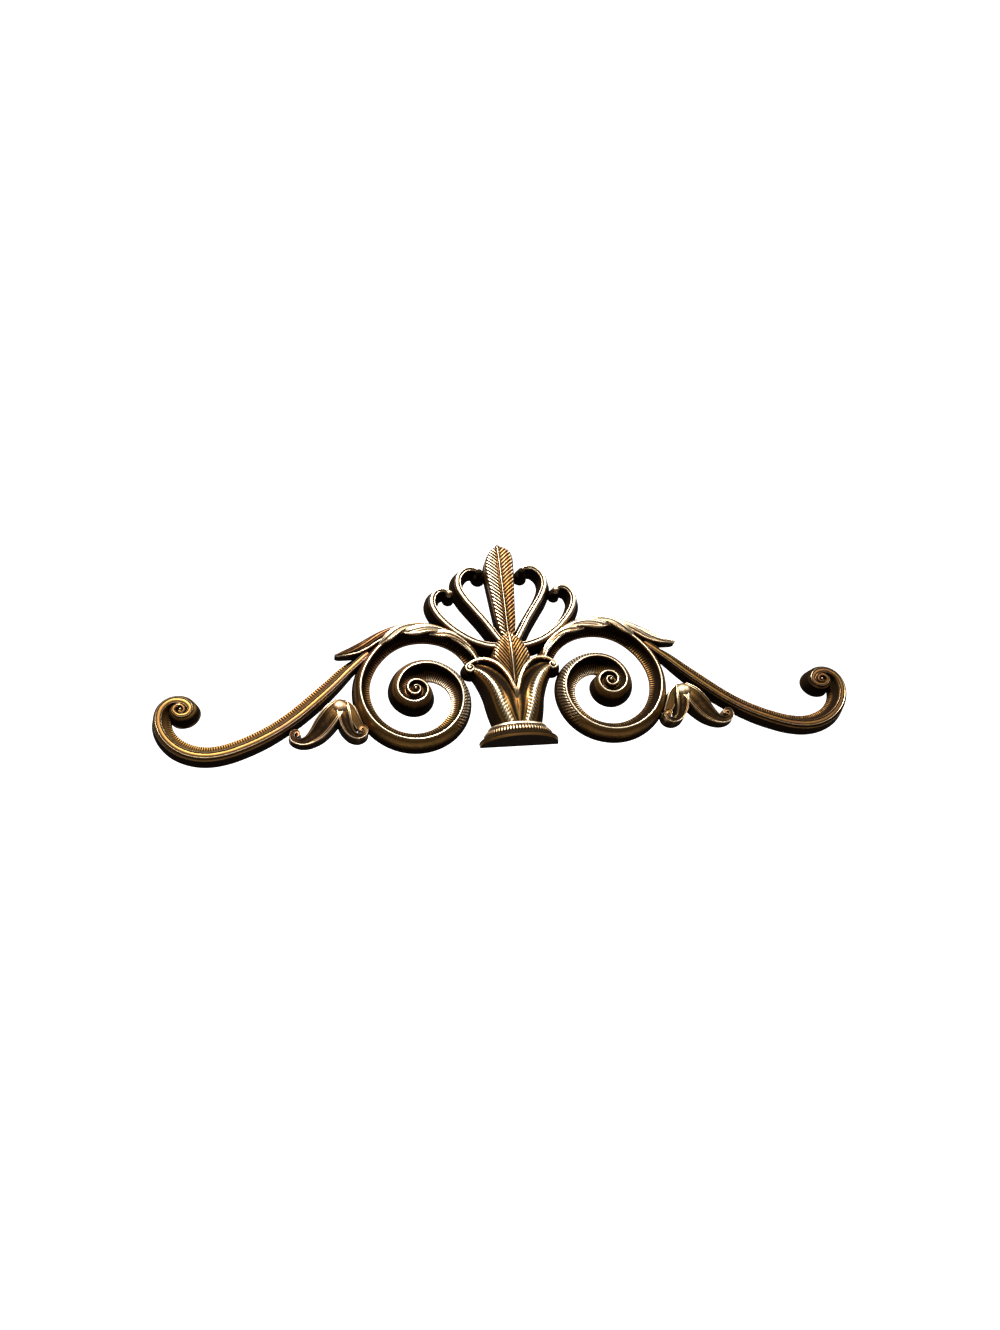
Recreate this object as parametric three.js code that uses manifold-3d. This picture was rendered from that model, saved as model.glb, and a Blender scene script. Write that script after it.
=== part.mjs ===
// Scroll wall ornament: a flat-backed casting with a footed tulip urn between two leaf scrolls.
//
// Sizes are millimetres. x runs along the wall from the centre line, z is up and the back lies in
// the plane y = 0 with the relief towards -y. Places are given for the right half as x from the
// centre line and z above the foot, and the left half is its mirror image. The origin is on the
// flat back behind the urn, MOUNT_HEIGHT above the underside of the foot.

import * as THREE from 'three';
import { mergeVertices } from 'three/addons/utils/BufferGeometryUtils.js';
import Module from 'manifold-3d';

const wasm = await Module();
wasm.setup();

const MOUNT_HEIGHT = 56;

// Eye of the large scroll, which the leaf, the bud and the tail are placed from.
const EYE_X = 86;
const EYE_HEIGHT = 52.5;
const EYE_BUTTON_RADIUS = 4.6;
const EYE_BUTTON_DEPTH = 16.5;
const EYE_CORE_RADIUS = 8;
const EYE_CORE_DEPTH = 10.5;

// Large scroll, one row for each eighth of a turn from beside the stem inwards:
// radius of its ridge, width of its hollow, width of its outer flank, depth of ridge and hollow edge.
const SCROLL_ROWS = [
  [59, 8, 7, 13, 3],
  [61.8, 8, 7, 13.5, 3],
  [56.5, 8.2, 7, 13.5, 3],
  [48.8, 7.6, 7, 13.5, 3],
  [46.8, 8.4, 7.2, 13.5, 3],
  [46.1, 8.8, 8.2, 13.5, 3],
  [46, 9.2, 8.6, 13.5, 3],
  [44.4, 9.5, 8.6, 13.5, 3],
  [40, 10.2, 8.2, 13.5, 3],
  [31, 12.5, 8, 13.5, 3],
  [22.7, 14, 8, 13.5, 4],
  [17, 9.5, 8, 13.8, 7.5],
  [15, 7, 8, 14, 9.5],
  [12.9, 5.6, 8.5, 14.2, 10.5],
  [11.7, 5, 9, 14.5, 11],
  [11, 4.7, 8, 14.8, 11],
  [10.4, 4.4, 6, 15, 11.2],
  [9, 4, 4, 15.3, 11.5],
  [8, 3.4, 3, 15.5, 12],
  [7.3, 3, 2.5, 15.5, 12],
];
const SCROLL_START_TURN = 0.5;
const VOLUTE_START_TURN = 11;
const EIGHTH_TURN = Math.PI / 4;
const RIDGE_HALF_WIDTH = 0.9;
// Flank below the ridge: share of its width, share of the ridge's depth.
const FLANK_PROFILE = [[0.5, 0.74], [0.72, 0.5], [1, 0]];

// Tail, from under the leaf out to its own small volute: place of the band from the large eye, width
// of the hollow above it, width of the flank below it, depth of the band and of the hollow edge.
const TAIL_ROWS = [
  [38, 37.5, 5, 2.2, 11, 3],
  [54, 22.5, 9, 3.4, 12.5, 3.5],
  [69, 7.5, 10.5, 4.6, 13.2, 3.8],
  [84, -6, 11, 5.5, 13.2, 3.8],
  [99, -18.5, 11, 5.5, 13.2, 3.8],
  [114, -29, 11, 5.5, 13.2, 3.8],
  [129, -37.2, 11, 6, 13.2, 3.8],
  [144, -43.7, 11, 6.2, 13.2, 3.8],
  [159, -48.5, 11, 6.3, 13.2, 3.8],
  [174, -50.3, 11, 6.4, 13.2, 3.8],
  [188, -47.9, 11, 6.5, 13.2, 3.8],
  [200.4, -41, 10.5, 6.8, 13.2, 4],
  [209.4, -30.5, 10, 6.6, 13.4, 4.5],
  [213.2, -18.5, 10, 6.4, 13.6, 5],
  [211, -7.3, 9, 6.2, 13.8, 7],
  [203.2, -0.6, 8, 5.8, 14, 8.5],
  [193.4, -1.1, 6.6, 7, 14.2, 9.5],
  [187.8, -7.1, 5, 8, 14.4, 10.5],
  [190.2, -12.9, 4, 7, 14.6, 11],
  [197, -13.9, 3.6, 6.5, 14.8, 11],
  [201.2, -9.5, 3.2, 5, 15, 11],
  [198.4, -5.5, 2.6, 3.6, 15, 11],
];
const TAIL_VOLUTE_ROW = 15.2;
const TAIL_EYE_REACH = 195.5;
const TAIL_EYE_DROP = 8.9;
const TAIL_BUTTON_RADIUS = 3;
const TAIL_BUTTON_DEPTH = 15.5;
const TAIL_CORE_RADIUS = 7;
const BAND_HALF_WIDTH = 1.9;
const BAND_SINK = 0.5;
const BAND_LIP = 0.9;
const BAND_LIP_DROP = 1.4;

// Leaf that lies over the top of the scroll. Each leaflet has rows of angle and radius about the
// scroll's eye, half widths towards the eye and away from it, and depth. Angles start at the centre
// line side and run over the top.
const LEAF_RIM_DEPTH = 12.5;
const LEAF_LIP_DROP = 0.6;
const LEAF_CHANNEL_PLACE = 0.4;
const LEAF_CHANNEL_DROP = 1.6;
const LEAF_ROWS = [
  [26, 62, 2, 1.6, 12],
  [34, 63.2, 3, 2.2, 13.5],
  [46, 63, 4, 3, 14.5],
  [60, 62.2, 4.4, 3.4, 15],
  [74, 61.6, 4.6, 3.6, 15],
  [90, 60.2, 4.8, 3.8, 15.5],
  [106, 58.8, 4.4, 4.3, 15.5],
  [121, 58.6, 4.6, 4.6, 15],
  [133, 60.2, 5, 4.6, 14],
  [142, 65, 4.2, 3.6, 12.5],
  [149, 72.5, 1.8, 1.8, 11],
  [151, 76.5, 0.4, 0.4, 10],
];
const LEAF_LOBES = [
  [
    [88, 61.5, 1.5, 1.5, 15.5],
    [96, 59.5, 2.6, 2.4, 17],
    [104, 56.6, 3.6, 3.2, 17.5],
    [112, 54.2, 3.2, 3, 16.5],
    [119, 52.8, 2, 1.8, 15],
    [124.5, 51.2, 0.4, 0.4, 13.5],
  ],
  [
    [60, 62, 1.5, 1.5, 15],
    [68, 61, 2.6, 2.4, 16.5],
    [77, 58.9, 3.8, 3.2, 17.5],
    [85, 57.2, 4.6, 4.2, 17.5],
    [92, 56, 3.4, 3.4, 16.5],
    [97, 55.2, 0.6, 0.6, 15],
  ],
  [
    [36, 63.6, 0.8, 0.8, 13.5],
    [47, 63.2, 2, 1.6, 15],
    [56, 61.8, 2.8, 2.4, 16],
    [63, 59.4, 3, 2.8, 16],
    [68, 57.2, 1.8, 2, 15],
    [71.5, 54.8, 0.4, 0.4, 14],
  ],
];

// Two strap loops of the crest: place and half width of the strap's top.
const STRAP_INNER_FLARE = 3;
const STRAP_OUTER_FLARE = 4;
const STRAP_CROWN_DEPTH = 15;
// Across the strap's top: share of its half width, drop from the crown.
const STRAP_PROFILE = [[-1, 2.6], [-0.6, 0.4], [0, 0], [0.5, 0.9], [0.85, 0.5], [1, 2]];
const TALL_LOOP_ROWS = [
  [6, 93, 2.8],
  [12, 103, 2.8],
  [19, 115, 2.8],
  [27, 127, 2.8],
  [34.5, 138.5, 2.8],
  [39.3, 150, 2.8],
  [38.3, 160.5, 2.8],
  [31.5, 168, 2.6],
  [23.6, 168.4, 2.2],
  [18.6, 164.6, 1.6],
];
const LOW_LOOP_ROWS = [
  [8, 90, 2.8],
  [18, 91.2, 2.8],
  [31, 96, 2.8],
  [43, 104, 2.8],
  [53, 113.5, 2.8],
  [61, 124.5, 2.8],
  [64.4, 135.5, 2.8],
  [61, 145, 2.6],
  [53.8, 148, 2.2],
  [48, 144.6, 1.6],
];
const HOOK_BALL_RADIUS = 3.3;
const HOOK_BALL_DEPTH = 18;
const TALL_HOOK_CENTRE = [19.4, 163.6];
const LOW_HOOK_CENTRE = [48.6, 143.4];
const TALL_HOOK_DRUM_RADIUS = 6.6;
const LOW_HOOK_DRUM_RADIUS = 5.4;
const HOOK_DRUM_DEPTH = 11;
const HOOK_DRUM_DRAFT = 1.5;
const HOOK_NECK_RADIUS = 3;

// Upright feather leaf of the crest: height on the centre line, widths of its left and right
// halves, depth of its midrib. The right half stands up in a small shoulder below the tip.
const FEATHER_ROWS = [
  [92, 4, 4, 15],
  [104, 7, 7, 15.5],
  [116, 9.2, 8.8, 16],
  [130, 10.6, 9.8, 16.3],
  [144, 11.8, 11, 16.5],
  [158, 13, 12.4, 16.5],
  [170, 13.3, 13.2, 16.5],
  [180, 11, 13.4, 16.3],
  [187, 6.6, 10.8, 16],
  [190.6, 2.6, 3.4, 15.7],
  [192, 0.5, 0.5, 15.5],
];
// Across half an upright leaf: share of the half width, share of the drop at the edge.
const UPRIGHT_LEAF_PROFILE = [[1, 1], [0.86, 0.3], [0.5, 0.12], [0.2, 0.45]];
const FEATHER_EDGE_DROP = 5;

// Calyx leaf in front of the crest's root, in the same form.
const CALYX_ROWS = [
  [42, 1, 1, 15],
  [52, 4, 4, 17.5],
  [62, 9, 9, 19],
  [70, 14.4, 14.4, 20.2],
  [78, 17, 17, 20.8],
  [86, 15, 15, 20.8],
  [94, 10.6, 10.6, 20],
  [99.6, 4.6, 4.6, 18.6],
  [102, 0.5, 0.5, 17.6],
];
const CALYX_EDGE_DROP = 7;
const UPRIGHT_LEAF_FLARE = 0.12;

// Tulip petal: place of the rib's crest, widths towards the outside and the centre, depth of the
// rib and of the hollow beside it.
const PETAL_ROWS = [
  [3.5, 10, 15, 5, 16.5, 16.5],
  [8.2, 19.5, 14, 9.5, 17.5, 17.2],
  [12, 28.4, 12.6, 13, 18.8, 17.6],
  [14.8, 37, 11.6, 16, 19.8, 17],
  [17.4, 45.3, 10.4, 17, 20.2, 15],
  [20.5, 53, 9.6, 15.5, 19.8, 13],
  [24.6, 60, 8.4, 13, 18.4, 12],
  [29.2, 65.6, 6.8, 9.5, 16, 11.5],
  [34, 69.4, 5, 6, 13, 10.5],
  [38.6, 71.4, 4, 3, 10.5, 9],
];
// Outer side of the petal: share of its width, share of the rib's depth. Then the rib's inner side.
const PETAL_SIDE_PROFILE = [[1, 0], [0.9, 0.26], [0.42, 0.78], [0.16, 0.96]];
const PETAL_RIB_SHOULDER = [0.16, 0.96];
const PETAL_HOLLOW_START = 0.44;
const RIM_ROWS = [
  [0, 35, 15.5],
  [0.6, 42.5, 20.5],
  [2.6, 49.5, 21.5],
  [5.4, 57.5, 21.5],
  [10, 66, 20.5],
  [16.2, 73, 18.8],
  [23.6, 77, 16.5],
  [31.2, 77.2, 14.5],
  [37.2, 74.6, 13],
];
const RIM_HALF_WIDTH = 1.5;
const RIM_OUTER_DROP = 1.5;
const RIM_INNER_DROP = 0.8;
const CURL_CENTRE = [36.5, 70.6];
const CURL_RADIUS = 4.6;
const CURL_DEPTH = 13.5;
const CURL_DRUM_RADIUS = 8;
const CURL_DRUM_DEPTH = 9;

// Foot, one row for each level: height, half width at the wall, depth of its round front.
const FOOT_ROWS = [
  [0, 34, 24.4],
  [3.8, 34.6, 25],
  [5.4, 33.4, 24],
  [6.2, 29.6, 21.2],
  [8, 30.4, 22],
  [10.2, 30, 21.7],
  [12.4, 28, 20],
  [13.2, 25.8, 18.2],
  [14, 26.6, 18.8],
  [15.8, 26.2, 18.4],
  [16.8, 24, 16.6],
  [19, 20, 13],
];
const FOOT_FACETS = 12;

// Bellflower bud between the scroll and the tail: two petals with a knob above them, placed from
// the large eye. Rows are offsets from the knob's centre, half widths on the two sides, and depth.
const KNOB_REACH = 65;
const KNOB_DROP = 14;
const KNOB_RADIUS = 7.2;
const KNOB_DEPTH = 22;
const KNOB_DRAFT = 0.8;
const KNOB_SHOULDER = 0.8;
const KNOB_SHOULDER_DROP = 2.4;
const OUTER_BUD_ROWS = [
  [-1, 4, 6, 6, 15],
  [6, -4, 8, 8, 17],
  [13, -12.5, 8.4, 8.4, 15.5],
  [20, -20.5, 7, 7, 13],
  [27.5, -26, 4.4, 4.6, 11.5],
  [34.6, -27.2, 2.8, 3, 10.5],
  [40, -24, 2.2, 2.6, 10],
  [40, -19.2, 1.7, 2.4, 10],
  [36.8, -18, 1.4, 2, 10],
];
const INNER_BUD_ROWS = [
  [-1, 4, 6, 6, 15],
  [-3, -6, 5.8, 5.8, 17],
  [-4.4, -15.5, 5.2, 5.2, 16.5],
  [-8, -23.4, 3.4, 3.6, 15],
  [-13.6, -26.6, 2.2, 2.6, 14],
  [-19, -24.6, 1.8, 2.4, 14],
  [-20.6, -20, 1.5, 2.2, 14],
  [-17.4, -17.6, 1.3, 2, 14],
];
const BUD_FLARE = 0.8;
// Across a bud petal: share of its half width, drop from the rims.
const BUD_PROFILE = [[1, 2], [0.75, 0.2], [0.4, 1.2], [-0.4, 1], [-0.75, 0], [-1, 2]];
const SEPAL_ROWS = [
  [
    [2, 6, 3, 3, 12],
    [9, 1, 3, 3, 11],
    [17, -7.6, 2.6, 2.6, 9.5],
    [24, -17, 1.6, 1.6, 7],
  ],
  [
    [-2, 6, 3, 3, 12],
    [-8.2, 0.4, 3.8, 4.4, 11],
    [-12, -8.2, 4.2, 4.6, 9.6],
    [-16, -16.2, 3.6, 3.8, 7],
  ],
];

const BRONZE = { color: 0x6b4a24, roughness: 0.42, metalness: 0.85 };

// Steps along each swept form, sides of each round one and shape of the small domes.
const STEPS = {
  scroll: 31, volute: 16, hollow: 3, tail: 17, tailVolute: 10, leaf: 13, lobe: 6, loop: 14,
  feather: 10, calyx: 9, petal: 9, rim: 10, outerBud: 11, innerBud: 10, sepal: 3,
};
const ROUND_SIDES = 8;
const CORE_DRAFT = 1;
const DOME_SHOULDER = 0.8;
const DOME_DROP = 0.3;
const TANGENT_STEP = 1e-3;
const WELD_DISTANCE = 1e-4;

// Row of numbers at t from 0 to 1 on the Catmull-Rom curve through evenly spaced rows.
function rowAt(rows, t) {
  const last = rows.length - 1;
  const index = Math.min(Math.floor(t * last), last - 1);
  const f = t * last - index;
  const pick = (i) => rows[Math.max(0, Math.min(last, i))];
  const [a, b, c, d] = [pick(index - 1), pick(index), pick(index + 1), pick(index + 2)];
  return b.map((value, i) => {
    const linear = c[i] - a[i];
    const square = 2 * a[i] - 5 * value + 4 * c[i] - d[i];
    const cube = 3 * value - a[i] - 3 * c[i] + d[i];
    return value + 0.5 * f * (linear + f * (square + f * cube));
  });
}

// Point of the right half at an offset from the eye of the large scroll.
function fromEye([x, z]) {
  return [EYE_X + x, EYE_HEIGHT + z];
}

// Point at an angle and radius about the eye of the large scroll.
function aboutEye(angle, radius) {
  return fromEye([-radius * Math.cos(angle), radius * Math.sin(angle)]);
}

// Two of three coordinates, leaving out the one that the ring is squarest to.
function flatten(ring) {
  const normal = [0, 0, 0];
  ring.forEach((p, i) => {
    const q = ring[(i + 1) % ring.length];
    for (let axis = 0; axis < 3; axis += 1) {
      const [j, k] = [(axis + 1) % 3, (axis + 2) % 3];
      normal[axis] += p[j] * q[k] - p[k] * q[j];
    }
  });
  const size = normal.map(Math.abs);
  const drop = size.indexOf(Math.max(...size));
  const [j, k] = [(drop + 1) % 3, (drop + 2) % 3];
  return ring.map((p) => new THREE.Vector2(p[j], p[k]));
}

// Triangles that close a ring, in the ring's own sense of turning.
function capFaces(ring) {
  const outline = flatten(ring);
  const turn = Math.sign(THREE.ShapeUtils.area(outline));
  return THREE.ShapeUtils.triangulateShape(outline, []).map((face) => {
    const area = THREE.ShapeUtils.area(face.map((i) => outline[i]));
    return area * turn < 0 ? [...face].reverse() : face;
  });
}

// Solid through equal rings of [x, z, depth], closed at both ends.
function loft(rings) {
  const count = rings[0].length;
  const points = rings.flat().flatMap(([x, z, depth]) => [x, -depth, z]);
  const faces = [];
  for (let ring = 0; ring + 1 < rings.length; ring += 1) {
    for (let i = 0; i < count; i += 1) {
      const a = ring * count + i;
      const b = ring * count + ((i + 1) % count);
      faces.push([a, b, b + count], [a, b + count, a + count]);
    }
  }
  const end = (rings.length - 1) * count;
  capFaces(rings[0]).forEach((face) => faces.push([...face].reverse()));
  capFaces(rings[rings.length - 1]).forEach((face) => faces.push(face.map((i) => i + end)));
  return solid(points, faces);
}

// Solid with its faces turned outwards.
function solid(points, faces) {
  const corner = (i) => new THREE.Vector3().fromArray(points, 3 * i);
  const volume = faces.reduce((sum, face) => {
    const [a, b, c] = face.map(corner);
    return sum + a.dot(b.cross(c));
  }, 0);
  const outward = volume < 0 ? faces.map((face) => [...face].reverse()) : faces;
  return new wasm.Manifold(new wasm.Mesh({
    numProp: 3,
    vertProperties: Float32Array.from(points),
    triVerts: Uint32Array.from(outward.flat()),
  }));
}

// The same solid on the other side of the centre line.
function mirrorImage(manifold) {
  const { vertProperties, triVerts } = manifold.getMesh();
  const points = Array.from(vertProperties, (value, i) => (i % 3 === 0 ? -value : value));
  const faces = [];
  for (let i = 0; i < triVerts.length; i += 3) faces.push(Array.from(triVerts.slice(i, i + 3)));
  return solid(points, faces);
}

// Solid swept along a place in the wall plane. A section is a list of [offset, depth], with the
// offset to the left of the direction of travel.
function sweep(place, section, steps) {
  const rings = [];
  for (let step = 0; step <= steps; step += 1) {
    const t = step / steps;
    const [x, z] = place(t);
    const [x0, z0] = place(t - TANGENT_STEP);
    const [x1, z1] = place(t + TANGENT_STEP);
    const length = Math.hypot(x1 - x0, z1 - z0);
    const side = [(z0 - z1) / length, (x1 - x0) / length];
    rings.push(section(t).map(([u, depth]) => [x + u * side[0], z + u * side[1], depth]));
  }
  return loft(rings);
}

// Solid of revolution standing on the wall plane, from a profile of [radius, depth].
function turned(centre, profile) {
  const outline = [[0, 0], ...profile].map(([radius, depth]) => new THREE.Vector2(radius, depth));
  const lathe = new THREE.LatheGeometry(outline, ROUND_SIDES);
  lathe.deleteAttribute('normal');
  lathe.deleteAttribute('uv');
  const merged = mergeVertices(lathe, WELD_DISTANCE);
  const place = merged.getAttribute('position');
  const points = [];
  for (let i = 0; i < place.count; i += 1) {
    points.push(centre[0] + place.getX(i), -place.getY(i), centre[1] + place.getZ(i));
  }
  const index = Array.from(merged.getIndex().array);
  const faces = [];
  for (let i = 0; i < index.length; i += 3) {
    const face = index.slice(i, i + 3);
    if (new Set(face).size === 3) faces.push(face);
  }
  return solid(points, faces);
}

// Quarter-round hollow from a ridge down to its outer edge, as [offset, depth] from edge to ridge.
function hollow(width, ridge, edge) {
  const points = [];
  for (let step = STEPS.hollow; step > 0; step -= 1) {
    const share = step / STEPS.hollow;
    const fall = Math.sqrt(1 - (1 - share) ** 2);
    const across = RIDGE_HALF_WIDTH + share * (width - RIDGE_HALF_WIDTH);
    points.push([across, ridge - fall * (ridge - edge)]);
  }
  return points;
}

// Section of the large scroll: hollow towards the eye, thin ridge, sloping flank outside.
function scrollSection([, width, flank, ridge, edge]) {
  return [
    [-width, 0],
    ...hollow(width, ridge, edge).map(([u, depth]) => [-u, depth]),
    [-RIDGE_HALF_WIDTH, ridge],
    [RIDGE_HALF_WIDTH, ridge],
    ...FLANK_PROFILE.map(([across, rise]) => [across * flank, rise * ridge]),
  ];
}

function scrollPart(fromTurn, toTurn, steps) {
  const last = SCROLL_ROWS.length - 1;
  const turnAt = (t) => fromTurn + t * (toTurn - fromTurn);
  const row = (t) => rowAt(SCROLL_ROWS, turnAt(t) / last);
  const place = (t) => aboutEye(turnAt(t) * EIGHTH_TURN, row(t)[0]);
  return sweep(place, (t) => scrollSection(row(t)), steps);
}

// Shallow dome of a given radius up to its crown, as a profile of [radius, depth].
function dome(radius, crown) {
  return [[DOME_SHOULDER * radius, crown - DOME_DROP * radius], [0, crown]];
}

// Small domed button in the middle of a volute, on its round core.
function button(centre, radius, depth, coreRadius, coreDepth) {
  return turned(centre, [
    [coreRadius, 0],
    [coreRadius - CORE_DRAFT, coreDepth],
    [radius, coreDepth],
    ...dome(radius, depth),
  ]);
}

function largeScroll() {
  return [
    scrollPart(SCROLL_START_TURN, VOLUTE_START_TURN, STEPS.scroll),
    scrollPart(VOLUTE_START_TURN, SCROLL_ROWS.length - 1, STEPS.volute),
    button(fromEye([0, 0]), EYE_BUTTON_RADIUS, EYE_BUTTON_DEPTH, EYE_CORE_RADIUS, EYE_CORE_DEPTH),
  ];
}

// Section of the tail: hollow above, rounded band between two fine ridges, plain flank below.
function tailSection([, , width, flank, ridge, edge]) {
  const band = BAND_HALF_WIDTH;
  return [
    [width, 0],
    ...hollow(width - band, ridge, edge).map(([u, depth]) => [u + band, depth]),
    [band, ridge],
    [0, ridge - BAND_SINK],
    [-band, ridge],
    [-band - BAND_LIP, ridge - BAND_LIP_DROP],
    [-flank, 0],
  ];
}

function tail() {
  const last = TAIL_ROWS.length - 1;
  const part = (from, to, steps) => {
    const row = (t) => rowAt(TAIL_ROWS, (from + t * (to - from)) / last);
    return sweep((t) => fromEye(row(t)), (t) => tailSection(row(t)), steps);
  };
  return [
    part(0, TAIL_VOLUTE_ROW, STEPS.tail),
    part(TAIL_VOLUTE_ROW, last, STEPS.tailVolute),
    button(fromEye([TAIL_EYE_REACH, -TAIL_EYE_DROP]), TAIL_BUTTON_RADIUS, TAIL_BUTTON_DEPTH,
      TAIL_CORE_RADIUS, EYE_CORE_DEPTH),
  ];
}

// Leaflet with upright sides, a ridge along its middle and a channel towards the eye.
function leaflet(rows, steps) {
  const row = (t) => rowAt(rows, t);
  const place = (t) => {
    const [angle, radius] = row(t);
    return aboutEye(THREE.MathUtils.degToRad(angle), radius);
  };
  const section = (t) => {
    const [, , inner, outer, depth] = row(t);
    const rim = Math.min(depth - LEAF_LIP_DROP, LEAF_RIM_DEPTH);
    return [
      [-inner, 0],
      [-inner, depth - LEAF_LIP_DROP],
      [-LEAF_CHANNEL_PLACE * inner, depth - LEAF_CHANNEL_DROP],
      [0, depth],
      [outer, rim],
      [outer, 0],
    ];
  };
  return sweep(place, section, steps);
}

function leaf() {
  return [
    leaflet(LEAF_ROWS, STEPS.leaf),
    ...LEAF_LOBES.map((rows) => leaflet(rows, STEPS.lobe)),
  ];
}

// Rounded strap with a fine groove, standing on flared sides. Its loop lies to its left.
function strap(rows) {
  const section = (t) => {
    const [, , half] = rowAt(rows, t);
    const top = STRAP_PROFILE.map(([across, drop]) => [across * half, STRAP_CROWN_DEPTH - drop]);
    return [[-half - STRAP_OUTER_FLARE, 0], ...top, [half + STRAP_INNER_FLARE, 0]];
  };
  return sweep((t) => rowAt(rows, t), section, STEPS.loop);
}

// Ball end of a strap on its round drum.
function hook(centre, drum) {
  const ball = HOOK_BALL_RADIUS;
  return turned(centre, [
    [drum, 0],
    [drum - HOOK_DRUM_DRAFT, HOOK_DRUM_DEPTH - CORE_DRAFT],
    [HOOK_NECK_RADIUS, HOOK_DRUM_DEPTH],
    [ball, HOOK_BALL_DEPTH - ball],
    ...dome(ball, HOOK_BALL_DEPTH),
  ]);
}

function loops() {
  return [
    strap(TALL_LOOP_ROWS),
    strap(LOW_LOOP_ROWS),
    hook(TALL_HOOK_CENTRE, TALL_HOOK_DRUM_RADIUS),
    hook(LOW_HOOK_CENTRE, LOW_HOOK_DRUM_RADIUS),
  ];
}

// Upright leaf on the centre line: two swelling halves, channels and a midrib.
function uprightLeaf(rows, edgeDrop, steps) {
  const section = (t) => {
    const [, left, right, depth] = rowAt(rows, t);
    const half = (width) => UPRIGHT_LEAF_PROFILE.map(
      ([across, drop]) => [across * width, depth - drop * edgeDrop],
    );
    const base = (width) => width * (1 + UPRIGHT_LEAF_FLARE);
    const rightHalf = half(right).map(([u, d]) => [-u, d]).reverse();
    return [[base(left), 0], ...half(left), [0, depth], ...rightHalf, [-base(right), 0]];
  };
  return sweep((t) => [0, rowAt(rows, t)[0]], section, steps);
}

// Petal with a rounded outer side, a convex rib and the hollow towards the centre.
function petal() {
  const section = (t) => {
    const [, , outer, inner, depth, floor] = rowAt(PETAL_ROWS, t);
    const [shoulder, shoulderDepth] = PETAL_RIB_SHOULDER;
    return [
      ...PETAL_SIDE_PROFILE.map(([across, rise]) => [-across * outer, rise * depth]),
      [0, depth],
      [shoulder * inner, shoulderDepth * depth],
      [PETAL_HOLLOW_START * inner, floor],
      [inner, floor],
      [inner, 0],
    ];
  };
  return sweep((t) => rowAt(PETAL_ROWS, t), section, STEPS.petal);
}

function petalRim() {
  const section = (t) => {
    const [, , depth] = rowAt(RIM_ROWS, t);
    return [
      [-RIM_HALF_WIDTH, 0],
      [-RIM_HALF_WIDTH, depth - RIM_OUTER_DROP],
      [0, depth],
      [RIM_HALF_WIDTH, depth - RIM_INNER_DROP],
      [RIM_HALF_WIDTH, 0],
    ];
  };
  return sweep((t) => rowAt(RIM_ROWS, t), section, STEPS.rim);
}

function petalCurl() {
  return button(CURL_CENTRE, CURL_RADIUS, CURL_DEPTH, CURL_DRUM_RADIUS, CURL_DRUM_DEPTH);
}

// Foot and its mouldings, half round in plan.
function foot() {
  return loft(FOOT_ROWS.map(([height, width, depth]) => {
    const ring = [];
    for (let i = 0; i <= FOOT_FACETS; i += 1) {
      const angle = (Math.PI * i) / FOOT_FACETS;
      ring.push([width * Math.cos(angle), height, depth * Math.sin(angle)]);
    }
    return ring;
  }));
}

// Place on the bud of a row that starts with an offset from the knob's centre.
function onBud([x, z]) {
  return fromEye([KNOB_REACH + x, z - KNOB_DROP]);
}

// Bud petal with a raised rim on both sides of a shallow hollow.
function budPetal(rows, steps) {
  const section = (t) => {
    const [, , left, right, depth] = rowAt(rows, t);
    const top = BUD_PROFILE.map(([across, drop]) => [
      across * (across > 0 ? left : right),
      depth - drop,
    ]);
    return [[left + BUD_FLARE, 0], ...top, [-right - BUD_FLARE, 0]];
  };
  return sweep((t) => onBud(rowAt(rows, t)), section, steps);
}

// Sepal that joins the bud's petals to the scroll or to the tail.
function sepal(rows) {
  const section = (t) => {
    const [, , left, right, depth] = rowAt(rows, t);
    return [[left, 0], [left, depth], [-right, depth], [-right, 0]];
  };
  return sweep((t) => onBud(rowAt(rows, t)), section, STEPS.sepal);
}

function bud() {
  const knob = turned(onBud([0, 0]), [
    [KNOB_RADIUS + KNOB_DRAFT, 0],
    [KNOB_RADIUS, KNOB_DEPTH - KNOB_RADIUS],
    [KNOB_SHOULDER * KNOB_RADIUS, KNOB_DEPTH - KNOB_SHOULDER_DROP],
    [0, KNOB_DEPTH],
  ]);
  return [
    budPetal(OUTER_BUD_ROWS, STEPS.outerBud),
    budPetal(INNER_BUD_ROWS, STEPS.innerBud),
    ...SEPAL_ROWS.map(sepal),
    knob,
  ];
}

const rightHalf = [
  ...largeScroll(),
  ...tail(),
  ...leaf(),
  ...loops(),
  petal(),
  petalRim(),
  petalCurl(),
  ...bud(),
].reduce((whole, piece) => whole.add(piece));

const middle = [
  uprightLeaf(FEATHER_ROWS, FEATHER_EDGE_DROP, STEPS.feather),
  uprightLeaf(CALYX_ROWS, CALYX_EDGE_DROP, STEPS.calyx),
  foot(),
].reduce((whole, piece) => whole.add(piece));

const casting = rightHalf.add(mirrorImage(rightHalf)).add(middle);

// three.js geometry of a finished solid.
function geometryOf(manifold) {
  const mesh = manifold.getMesh();
  const geometry = new THREE.BufferGeometry();
  geometry.setAttribute('position', new THREE.Float32BufferAttribute(mesh.vertProperties, 3));
  geometry.setIndex(Array.from(mesh.triVerts));
  return geometry;
}

const ornament = new THREE.Mesh(geometryOf(casting), new THREE.MeshStandardMaterial(BRONZE));
ornament.name = 'scroll_ornament';
ornament.position.set(0, 0, -MOUNT_HEIGHT);

const wallOrnament = new THREE.Group();
wallOrnament.add(ornament);

export default wallOrnament;
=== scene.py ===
import logging
from collections.abc import Callable
from dataclasses import dataclass
from enum import Enum

import bpy
import numpy as np
from mathutils import Matrix, Vector


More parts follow.
